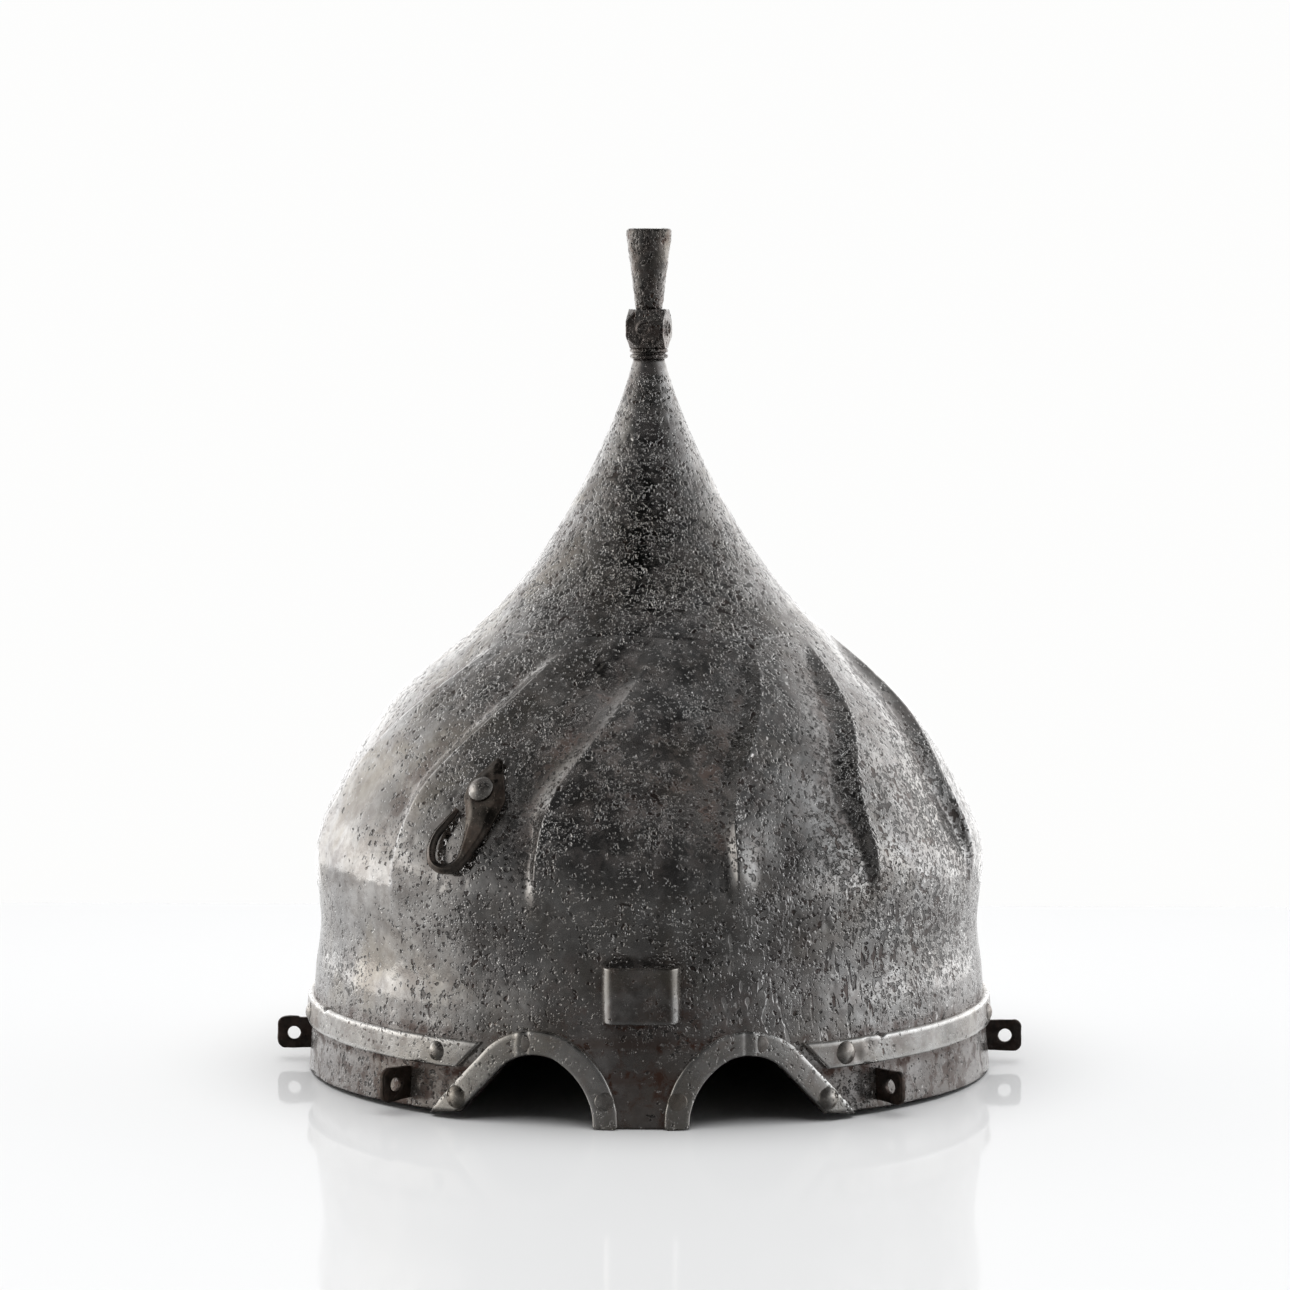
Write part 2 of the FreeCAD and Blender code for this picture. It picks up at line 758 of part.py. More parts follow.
hook_azimuth, hook_height = size("hook_azimuth"), size("hook_height")
seat_radius = panel_radius(hook_azimuth, hook_height)
lean = panel_radius(hook_azimuth, hook_height + 0.5) - panel_radius(hook_azimuth, hook_height - 0.5)
veer = panel_radius(hook_azimuth + 0.5, hook_height) - panel_radius(hook_azimuth - 0.5, hook_height)
veer_angle = atan(veer / radians(seat_radius))
face_azimuth = hook_azimuth - degrees(veer_angle)
face_tilt = degrees(atan(-lean * cos(veer_angle)))
face = facing(face_azimuth, face_tilt)
pivot_axis = face.multVec(FreeCAD.Vector(0, 0, 1))
pivot = FreeCAD.Vector(*point_at(hook_azimuth, seat_radius, hook_height))

hook_body = doc.addObject("PartDesign::Body", "hook_body")
hook_plane = next(f for f in hook_body.Origin.OriginFeatures if f.Role == "XY_Plane")
hook_sketch = hook_body.newObject("Sketcher::SketchObject", "hook_outline")
hook_sketch.AttachmentSupport = [(hook_plane, "")]
hook_sketch.MapMode = "FlatFace"
draw_outline(hook_sketch, HOOK_START, HOOK_RUNS)
hook_sketch.addGeometry(
    Part.Circle(FreeCAD.Vector(0, 0, 0), FreeCAD.Vector(0, 0, 1), size("hook_bore_radius")), False
)
bore = hook_sketch.addConstraint(
    Sketcher.Constraint("Radius", hook_sketch.GeometryCount - 1, size("hook_bore_radius"))
)
hook_sketch.setExpression(f"Constraints[{bore}]", "Sizes.hook_bore_radius")
hook_pad = hook_body.newObject("PartDesign::Pad", "hook_pad")
hook_pad.Profile = hook_sketch
hook_pad.setExpression("Length", "Sizes.hook_thickness")
place(hook_body, pivot + pivot_axis * size("hook_clearance"), face)
node(hook_body, "hook")

along_pivot = face.multiply(FreeCAD.Rotation(FreeCAD.Vector(0, 1, 0), -90))
stack = size("hook_clearance") + size("hook_thickness") + size("pivot_gap")
reach = stack + size("wall") + size("hook_rove_gap") + size("hook_rove_thickness")
pivot_parts = rivet_parts(
    "pivot", pivot + pivot_axis * stack, along_pivot,
    ("Sizes.pivot_head_radius", "Sizes.pivot_head_dome"), "Sizes.pivot_radius",
    -reach, f"{reach}", "Sizes.clench_height",
)
node(fuse("pivot_rivet", list(pivot_parts)), "hook_rivet")
rove_disc = bound(
    "Part::Cylinder", "rove_disc", Radius="Sizes.hook_rove_radius", Height="Sizes.hook_rove_thickness"
)
place(rove_disc, pivot - pivot_axis * (reach - stack), face)
node(cut("pivot_rove", rove_disc, pivot_parts[1]), "hook_rove")


# ---------------------------------------------------------------- finial

Z_COLLAR = "Sizes.apex_height"
Z_KNOP = "Sizes.apex_height + Sizes.collar_height"
Z_NECK = f"{Z_KNOP} + Sizes.knop_height"
Z_FLARE = f"{Z_NECK} + Sizes.flare_height"
Z_ROVE = "Sizes.ceiling_height - Sizes.rove_thickness"
Z_STEM = f"{Z_ROVE} - Sizes.stem_head_height"

node(revolved("collar", [
    ("Sizes.stem_radius", Z_COLLAR),
    ("Sizes.collar_radius - Sizes.collar_edge", Z_COLLAR),
    ("Sizes.collar_radius", f"{Z_COLLAR} + Sizes.collar_edge"),
    ("Sizes.collar_radius", f"{Z_COLLAR} + Sizes.collar_bead"),
    ("Sizes.collar_neck_radius", f"{Z_COLLAR} + Sizes.collar_bead + Sizes.collar_throat"),
    ("Sizes.collar_neck_radius", f"{Z_KNOP} - Sizes.collar_bead - Sizes.collar_throat"),
    ("Sizes.collar_radius", f"{Z_KNOP} - Sizes.collar_bead"),
    ("Sizes.collar_radius", f"{Z_KNOP} - Sizes.collar_edge"),
    ("Sizes.collar_radius - Sizes.collar_edge", Z_KNOP),
    ("Sizes.stem_radius", Z_KNOP),
]), "finial_collar")

node(revolved("stem", [
    ("0", Z_STEM),
    ("Sizes.stem_head_radius - Sizes.stem_head_edge", Z_STEM),
    ("Sizes.stem_head_radius", Z_ROVE),
    ("Sizes.stem_radius", Z_ROVE),
    ("Sizes.stem_radius", Z_NECK),
    ("Sizes.stem_neck_radius", Z_NECK),
    ("Sizes.flare_radius", Z_FLARE),
    ("Sizes.flare_cap_radius", f"{Z_FLARE} + Sizes.flare_cap_height"),
    ("0", f"{Z_FLARE} + Sizes.flare_cap_height"),
]), "finial_stem")

BORE_BOTTOM = "Sizes.ceiling_height - Sizes.stem_bore_below"
BORE_TOP = "Sizes.apex_height + Sizes.stem_bore_above"
stem_bore = bound(
    "Part::Cylinder", "stem_bore", Radius="Sizes.stem_radius",
    Height=f"({BORE_TOP}) - ({BORE_BOTTOM})",
)
stem_bore.setExpression(".Placement.Base.z", BORE_BOTTOM)
rove_blank = bound(
    "Part::Cylinder", "rove_blank", Radius="Sizes.finial_rove_radius", Height="Sizes.rove_thickness"
)
rove_blank.setExpression(".Placement.Base.z", Z_ROVE)
node(cut("finial_rove_ring", rove_blank, stem_bore), "finial_rove")

knop_block = bound(
    "Part::Box", "knop_block", Length="Sizes.knop_width", Width="Sizes.knop_width",
    Height="Sizes.knop_height",
)
knop_turn = FreeCAD.Rotation(FreeCAD.Vector(0, 0, 1), size("knop_azimuth"))
half_knop = size("knop_width") / 2
knop_corner = knop_turn.multVec(FreeCAD.Vector(
    -half_knop, -half_knop, size("apex_height") + size("collar_height")))
place(knop_block, knop_corner, knop_turn)
knop_bevelled = doc.addObject("Part::Chamfer", "knop_bevelled")
knop_bevelled.Base = knop_block
knop_bevelled.Edges = [
    (i, size("knop_bevel"), size("knop_bevel")) for i in edges_of(knop_block, lambda edge: True)
]
node(cut("knop", knop_bevelled, stem_bore), "finial_knop")


# ---------------------------------------------------------------- the pierced skull

skull_shape = cut("skull_with_eyes", bowl, fuse("eye_cutters", [eye_left, eye_right, front_cutter]))
skull_holes = group("skull_holes", [
    stem_bore, pivot_parts[1], *brow_shanks["left"].Links, *brow_shanks["right"].Links,
    *band_shanks, *lug_tangs, *bracket_legs,
])
node(cut("skull_pierced", skull_shape, skull_holes), "skull")


# ---------------------------------------------------------------- check and export

doc.recompute()
for thing in doc.Objects:
    if "Invalid" in thing.State or "Error" in thing.State:
        raise RuntimeError(f"{thing.Name} failed: {thing.State}")
os.makedirs("parts", exist_ok=True)
for piece in nodes:
    shape = piece.Shape
    if shape.isNull() or not shape.isValid():
        raise RuntimeError(f"{piece.Label} has no valid shape")
    print(f"{piece.Label}: {len(shape.Solids)} solids, {shape.Volume:.0f} mm3")
for piece in nodes:
    piece.Shape.exportStep(f"parts/{piece.Label}.step")
print("pivot", [round(v, 3) for v in pivot], "axis", [round(v, 5) for v in pivot_axis])
print("hook to skull", round(hook_body.Shape.distToShape(envelope.Shape)[0], 3))
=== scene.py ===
import math

import bmesh
import bpy
import numpy as np
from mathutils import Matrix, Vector, kdtree


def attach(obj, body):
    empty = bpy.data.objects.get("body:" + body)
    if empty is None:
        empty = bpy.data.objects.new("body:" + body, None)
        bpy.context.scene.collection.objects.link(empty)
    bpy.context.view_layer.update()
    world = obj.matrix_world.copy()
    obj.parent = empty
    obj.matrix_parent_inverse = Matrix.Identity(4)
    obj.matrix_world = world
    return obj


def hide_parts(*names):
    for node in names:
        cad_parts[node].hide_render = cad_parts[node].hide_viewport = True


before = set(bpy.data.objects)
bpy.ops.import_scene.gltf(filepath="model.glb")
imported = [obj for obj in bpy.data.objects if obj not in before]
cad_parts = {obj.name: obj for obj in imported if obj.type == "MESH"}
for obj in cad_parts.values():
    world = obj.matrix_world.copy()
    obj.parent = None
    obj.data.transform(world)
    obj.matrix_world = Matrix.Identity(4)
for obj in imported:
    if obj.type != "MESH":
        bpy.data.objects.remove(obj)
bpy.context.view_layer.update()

# A fluted turban helmet. Shapes are written in millimetres and scaled to metres as each mesh is
# made. +Z is up, the wearer faces -Y, and an azimuth runs round Z from the front towards +X.

MM = 0.001

RIM_RADIUS = 119.3
BASE_TAPER = 0.075
BASE_HEIGHT = 36.0
WALL = 1.7
APEX = 247.0
CEILING = 238.0
FLUTE_DEPTH = 4.6
FLUTE_FOOT = (54.0, 88.0)
FLUTE_TOP = (138.0, 154.0)
CREASE_FOOT = (66.0, 90.0)
CREASE_SHARE = 0.3
RISER_LOW, RISER_HIGH = 1.9, 5.0
TWIST_START = 108.0
TWIST_RATE, TWIST_EASE = 0.46, 5.0
SCRIBE_HEIGHT = 154.0
SEAM_HEIGHT = 40.0
EYE_AZIMUTH = 16.6
BROW_WIDTH = 8.0
BROW_THICKNESS = 1.9
BAND_BOTTOM, BAND_TOP = 17.4, 26.6
BAND_WIDTH = BAND_TOP - BAND_BOTTOM
BAND_THICKNESS = 2.0
BAND_END = 28.65
BAND_SKEW = 0.4516
FRONT_RISE = 2.4
BRACKET_BOTTOM, BRACKET_TOP = 35.0, 53.5
BRACKET_THICKNESS = 1.9
BRACKET_BEND = 11.6
LUG_HEIGHT, LUG_THICKNESS = 9.8, 2.1
LUG_TIP, LUG_HALF_WIDTH, LUG_CORNER = 131.0, 5.7, 2.6
LUG_HOLE_AT, LUG_HOLE_RADIUS = 125.1, 2.35
TANG_WIDTH, TANG_HEIGHT, TANG_DEPTH, TANG_GAP = 4.2, 4.6, 2.0, 0.2
CLENCH_RADIUS, CLENCH_RISE = 2.3, 0.85
HOOK_THICKNESS, HOOK_GAP, HOOK_BORE_RADIUS = 2.4, 0.45, 2.06
STUD_SEAT, STUD_REACH, STUD_SHANK_RADIUS = 3.2, 2.82, 1.98
KNOP_WIDTH, KNOP_HEIGHT, KNOP_BEVEL = 13.4, 13.5, 4.3
KNOP_CENTRE, KNOP_TURN = 257.35, -13.0
KNOP_RING_RADIUS, KNOP_RING_WIRE, KNOP_RING_AT = 2.3, 0.55, 6.75

PROFILE = np.array([
    (27.0, RIM_RADIUS - BASE_TAPER * 27.0), (36.0, 116.6), (45.0, 115.3), (53.0, 114.8),
    (60.0, 115.5), (67.0, 116.8), (75.0, 118.0), (83.0, 117.4), (92.0, 114.2), (104.0, 107.6),
    (117.0, 98.9), (130.0, 88.0), (142.0, 74.3), (153.0, 60.9), (167.0, 46.9), (184.0, 34.4),
    (201.0, 24.3), (218.0, 16.0), (234.0, 9.4), (247.0, 5.4),
])
CRESTS = np.array([
    -73.5, -45.4, -17.4, 15.6, 41.5, 71.5, 103.0, 132.0, 163.0, 194.0, 223.0, 255.0,
])
RIDGE = CRESTS[3]
EYE_START = (19.2, -5.0)
EYE_RUNS = [
    [(18.6, 4.0)],
    [(14.9, 13.6), (5.0, 22.4)],
    [(-4.0, 23.0), (-12.5, 18.6)],
    [(-35.0, -5.0)],
]
# Across the front from the eye's middle, height, head radius, head rise.
BROW_RIVETS = [(-28.6, 7.6, 3.8, 1.6), (-5.0, 27.0, 2.8, 0.3), (22.6, 9.2, 3.2, 0.36)]
RIM_RIVETS = [-34.6, 34.0, -78.0, 80.0, -128.0, 126.0, 178.0]
RIM_RIVET_HEIGHT, RIM_RIVET_RISE = 21.9, 1.45
LUGS = {
    "lug_front_left": -41.0, "lug_front_right": 41.0, "lug_left": -90.0, "lug_right": 90.0,
    "lug_rear_left": -135.0, "lug_rear_right": 135.0, "lug_rear": 180.0,
}
HOOK_PIVOT = np.array([-52.308, -89.158, 106.4])
HOOK_AXIS = np.array([-0.35189, -0.78739, 0.50616])
HOOK_START = (2.8, 12.0)
HOOK_RUNS = [
    [(4.6, 11.0)], [(9.1, -3.0)], [(5.9, -13.4), (0.8, -25.4)], [(-7.2, -30.2), (-14.4, -24.6)],
    [(-15.0, -18.6), (-12.2, -12.4)], [(-8.4, -6.4)], [(-6.8, -7.4)], [(-9.8, -14.0)],
    [(-12.0, -18.8), (-11.6, -23.6)], [(-7.4, -26.8), (-3.3, -23.2)],
    [(-3.0, -13.6), (-6.2, -3.0)], [(-5.4, 2.8)],
]


# ---------------------------------------------------------------- numbers

def smooth(value, low, high):
    u = np.clip((value - low) / (high - low), 0.0, 1.0)
    return u * u * (3 - 2 * u)


def bump(value, centre, reach):
    """1 at the centre, falling smoothly to 0 at this reach."""
    return 1 - smooth(np.abs(value - centre), 0.0, reach)


def noise(points, period, seed, octaves=1, gain=0.5):
    """Smooth value noise from -1 to 1 at points in millimetres."""
    points = np.asarray(points, float)
    total, share, size = np.zeros(len(points)), 0.0, 1.0
    for octave in range(octaves):
        grid = points / (period / 2 ** octave) + 31.7 * octave + 5.3 * seed
        cell = np.floor(grid).astype(np.int64)
        part = grid - cell
        part = part * part * (3 - 2 * part)
        for corner in range(8):
            step = np.array([corner & 1, corner >> 1 & 1, corner >> 2 & 1])
            c = cell + step
            h = (c[:, 0] * 73856093) ^ (c[:, 1] * 19349663) ^ (c[:, 2] * 83492791) ^ (seed * 7919)
            h = ((h & 0xFFFFFFFF) * 1274126177) & 0xFFFFFFFF
            h = ((h ^ (h >> 15)) * 2246822519) & 0xFFFFFFFF
            value = ((h >> 8) & 0xFFFF) / 32767.5 - 1
            weight = np.prod(np.where(step, part, 1 - part), axis=1)
            total += size * weight * value
        share += size
        size *= gain
    return total / share


def profile(height):
    """Outer radius at a crest, the same curve as the CAD's."""
    z = np.asarray(height, float)
    zs, rs = PROFILE[:, 0], PROFILE[:, 1]
    slopes = np.empty(len(zs))
    slopes[1:-1] = (rs[2:] - rs[:-2]) / (zs[2:] - zs[:-2])
    slopes[0] = (rs[1] - rs[0]) / (zs[1] - zs[0])
    slopes[-1] = (rs[-1] - rs[-2]) / (zs[-1] - zs[-2])
    i = np.clip(np.searchsorted(zs, z, side="left") - 1, 0, len(zs) - 2)
    span = zs[i + 1] - zs[i]
    u = (z - zs[i]) / span
    curve = rs[i] * (1 + 2 * u) * (1 - u) ** 2 + rs[i + 1] * u * u * (3 - 2 * u)
    curve += span * (slopes[i] * u * (1 - u) ** 2 + slopes[i + 1] * u * u * (u - 1))
    return np.where(z <= BASE_HEIGHT, RIM_RADIUS - BASE_TAPER * z, curve)


def profile_slope(height):
    return profile(height + 0.5) - profile(height - 0.5)


def twist(height):
    past = (np.minimum(height, FLUTE_TOP[1]) - TWIST_START) / TWIST_EASE
    return TWIST_RATE * TWIST_EASE * np.log1p(np.exp(past))


def flute_depth(height):
    return FLUTE_DEPTH * smooth(height, *FLUTE_FOOT) * (1 - smooth(height, *FLUTE_TOP))


def flute_share(turned, height):
    """0 on a crest, rising along its panel to 1 at the foot of the next riser."""
    t = (np.asarray(turned, float) - CRESTS[0]) % 360 + CRESTS[0]
    i = np.searchsorted(CRESTS, t, side="right") - 1
    following = np.append(CRESTS[1:], CRESTS[0] + 360)[i]
    riser = RISER_LOW + (RISER_HIGH - RISER_LOW) * smooth(height, FLUTE_FOOT[1], TWIST_START)
    foot = following - riser
    along = (t - CRESTS[i]) / (foot - CRESTS[i])
    up = np.clip((t - foot) / riser, 0, 1)
    share = np.where(t < foot, along, 1 - up ** 1.7)
    crease = smooth(height, CREASE_FOOT[0] - 8 * share, CREASE_FOOT[1] + 6 * share)
    return share * crease + CREASE_SHARE * (1 - crease)


def fold(azimuth):
    """The azimuth between -180 and 180 degrees, 0 in front."""
    return (np.asarray(azimuth, float) + 180) % 360 - 180


def at(azimuth, radius, height):
    """The point or points at this azimuth, radius and height."""
    a = np.radians(azimuth)
    return np.stack(np.broadcast_arrays(radius * np.sin(a), -radius * np.cos(a), height), axis=-1)


def circle(radius, count):
    turns = np.arange(count) / count * math.tau
    return [(radius * math.cos(t), radius * math.sin(t)) for t in turns]


def about_z(angle):
    """A turn about Z, for rows of points multiplied by its transpose."""
    c, s = math.cos(angle), math.sin(angle)
    return np.array([[c, -s, 0], [s, c, 0], [0, 0, 1]])


def outline(start, runs, step):
    """Points along straight runs and three-point arcs, the end left open."""
    points = [np.array(start, float)]
    for run in runs:
        a = points[-1]
        if len(run) == 1:
            b = np.array(run[0], float)
            count = max(1, round(float(np.linalg.norm(b - a)) / step))
            points += [a + (b - a) * k / count for k in range(1, count + 1)]
            continue
        m, b = (np.array(p, float) for p in run)
        lhs = 2 * np.array([m - a, b - a])
        centre = np.linalg.solve(lhs, [m @ m - a @ a, b @ b - a @ a])
        radius = np.linalg.norm(a - centre)
        t0, tm, t1 = (math.atan2(*(p - centre)[::-1]) for p in (a, m, b))
        sweep = (t1 - t0) % math.tau
        if (tm - t0) % math.tau > sweep:
            sweep -= math.tau
        count = max(2, round(abs(sweep) * radius / step))
        for k in range(1, count + 1):
            t = t0 + sweep * k / count
            points.append(centre + radius * np.array([math.cos(t), math.sin(t)]))
    return np.array(points)


# ---------------------------------------------------------------- meshes

def add_object(name, data):
    made = bpy.data.objects.new(name, data)
    bpy.context.scene.collection.objects.link(made)
    return made


def build(name, points, faces, attributes=None):
    """An object from points in millimetres, with float attributes on its vertices."""
    mesh = bpy.data.meshes.new(name)
    mesh.from_pydata((np.asarray(points) * MM).tolist(), [], faces)
    for key, values in (attributes or {}).items():
        layer = mesh.attributes.new(key, "FLOAT", "POINT")
        layer.data.foreach_set("value", np.asarray(values, np.float32))
    mesh.shade_smooth()
    mesh.validate()
    return add_object(name, mesh)


def show(made, slot, node, body="helmet"):
    """Gives the object its slot's metal and lets it stand for a CAD node on a body."""
    made.data.materials.clear()
    made.data.materials.append(STEEL[slot])
    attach(made, body)
    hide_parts(node)


def grid_faces(rows):
    """Quads between closed rows of vertex numbers; each row is a list of the same length."""
    faces = []
    for low, high in zip(rows, rows[1:]):
        for k, (here, above) in enumerate(zip(low, high)):
            m = (k + 1) % len(low)
            faces.append((here, low[m], high[m], above))
    return faces


def fan_faces(ring, hub, flip):
    """Triangles from a closed ring of vertices to one vertex."""
    pairs = zip(ring, ring[1:] + ring[:1])
    return [(b, a, hub) if flip else (a, b, hub) for a, b in pairs]


def halving_faces(many, few, up=True):
    """Joins a closed row to one with half as many vertices."""
    faces = []
    for k in range(len(few)):
        m = (k + 1) % len(few)
        face = (many[2 * k], many[2 * k + 1], many[(2 * k + 2) % len(many)], few[m], few[k])
        faces.append(face if up else face[::-1])
    return faces


def revolve(section, sides=48):
    """A closed turned solid about local Z from (radius, height) pairs, bottom to top."""
    angles = np.arange(sides) / sides * math.tau
    points, rows = [], []
    for radius, height in section[1:-1]:
        rows.append(list(range(len(points), len(points) + sides)))
        points += [(radius * math.cos(t), radius * math.sin(t), height) for t in angles]
    faces = grid_faces(rows)
    for row, (_, height), flip in ((rows[0], section[0], True), (rows[-1], section[-1], False)):
        faces += fan_faces(row, len(points), flip)
        points.append((0.0, 0.0, height))
    return np.array(points), faces


def joined(parts):
    """One list of points and faces from several."""
    points, faces, start = [], [], 0
    for p, f in parts:
        points.append(p)
        faces += [tuple(v + start for v in face) for face in f]
        start += len(p)
    return np.concatenate(points), faces


def sweep(sections):
    """A closed tube through cross-sections of equal length, capped with its end sections."""
    count = len(sections[0])
    rows = [list(range(i * count, (i + 1) * count)) for i in range(len(sections))]
    faces = grid_faces(rows)
    faces.append(tuple(rows[0][::-1]))
    faces.append(tuple(rows[-1]))
    return np.concatenate(sections), faces


def vertex_values(made, key):
    out = np.empty(len(made.data.vertices) * 3, np.float32)
    made.data.vertices.foreach_get(key, out)
    return out.reshape(-1, 3)


def normals_of(made):
    return vertex_values(made, "normal")


def points_of(made):
    return vertex_values(made, "co").astype(float) / MM


def move_to(made, points):
    made.data.vertices.foreach_set("co", (points * MM).astype(np.float32).ravel())
    made.data.update()


def weather(made, seed, coarse, fine, period):
    """Hand-forged unevenness: every point moves along its normal."""
    points = points_of(made)
    shift = coarse * noise(points, period, seed, 2) + fine * noise(points, period / 4, seed + 1, 2)
    move_to(made, points + normals_of(made) * shift[:, None])


def remesh(made, voxel, passes):
    """An even closed skin over the made shape, softened a little."""
    solid = made.modifiers.new("skin", "REMESH")
    solid.mode = "VOXEL"
    solid.voxel_size = voxel * MM
    solid.use_smooth_shade = True
    relax = made.modifiers.new("relax", "SMOOTH")
    relax.factor, relax.iterations = 0.5, passes
    view = bpy.context.evaluated_depsgraph_get()
    mesh = bpy.data.meshes.new_from_object(made.evaluated_get(view))
    mesh.name = made.name
    made.modifiers.clear()
    made.data = mesh
    mesh.shade_smooth()
    return made


def plate(name, loops, thickness, edge):
    """A flat plate from closed outlines, the later ones holes, its long edges rounded."""
    curve = bpy.data.curves.new(name, "CURVE")
    curve.dimensions, curve.fill_mode = "2D", "BOTH"
    curve.extrude = (thickness / 2 - edge) * MM
    curve.bevel_depth, curve.bevel_resolution, curve.offset = edge * MM, 2, -edge * MM
    for loop in loops:
        spline = curve.splines.new("POLY")
        spline.points.add(len(loop) - 1)
        for point, (x, y) in zip(spline.points, loop):
            point.co = (x * MM, y * MM, 0, 1)
        spline.use_cyclic_u = True
    holder = add_object(name, curve)
    view = bpy.context.evaluated_depsgraph_get()
    mesh = bpy.data.meshes.new_from_object(holder.evaluated_get(view))
    bpy.data.objects.remove(holder)
    mesh.name = name
    welded = bmesh.new()
    welded.from_mesh(mesh)
    bmesh.ops.remove_doubles(welded, verts=welded.verts, dist=1e-6)
    welded.to_mesh(mesh)
    welded.free()
    return add_object(name, mesh)


# ---------------------------------------------------------------- metal

class Nodes:
    """Short ways to make and join the nodes of one material or world."""

    def __init__(self, owner):
        owner.use_nodes = True
        self.tree = owner.node_tree

    def new(self, kind, **settings):
        made = self.tree.nodes.new("ShaderNode" + kind)
        for key, value in settings.items():
            setattr(made, key, value)
        return made

    def put(self, source, target):
        """Sets a number or a colour on a socket, or links another socket to it."""
        if isinstance(source, (int, float)):
            target.default_value = source
        elif isinstance(source, tuple):
            target.default_value = (*source, 1.0)
        else:
            self.tree.links.new(source, target)

    def filled(self, made, values):
        """The node's first inputs filled in, and its first output."""
        for value, socket in zip(values, made.inputs):
            self.put(value, socket)
        return made.outputs[0]

    def math(self, kind, a, b=0.0, c=0.0, clamp=False):
        return self.filled(self.new("Math", operation=kind, use_clamp=clamp), (a, b, c))

    def blend(self, share, a, b):
        """Two shaders mixed."""
        return self.filled(self.new("MixShader"), (share, a, b))

    def mix(self, share, a, b, kind="MIX"):
        """Two colours mixed."""
        made = self.new("Mix", data_type="RGBA", blend_type=kind)
        for value, number in ((share, 0), (a, 6), (b, 7)):
            self.put(value, made.inputs[number])
        return made.outputs[2]


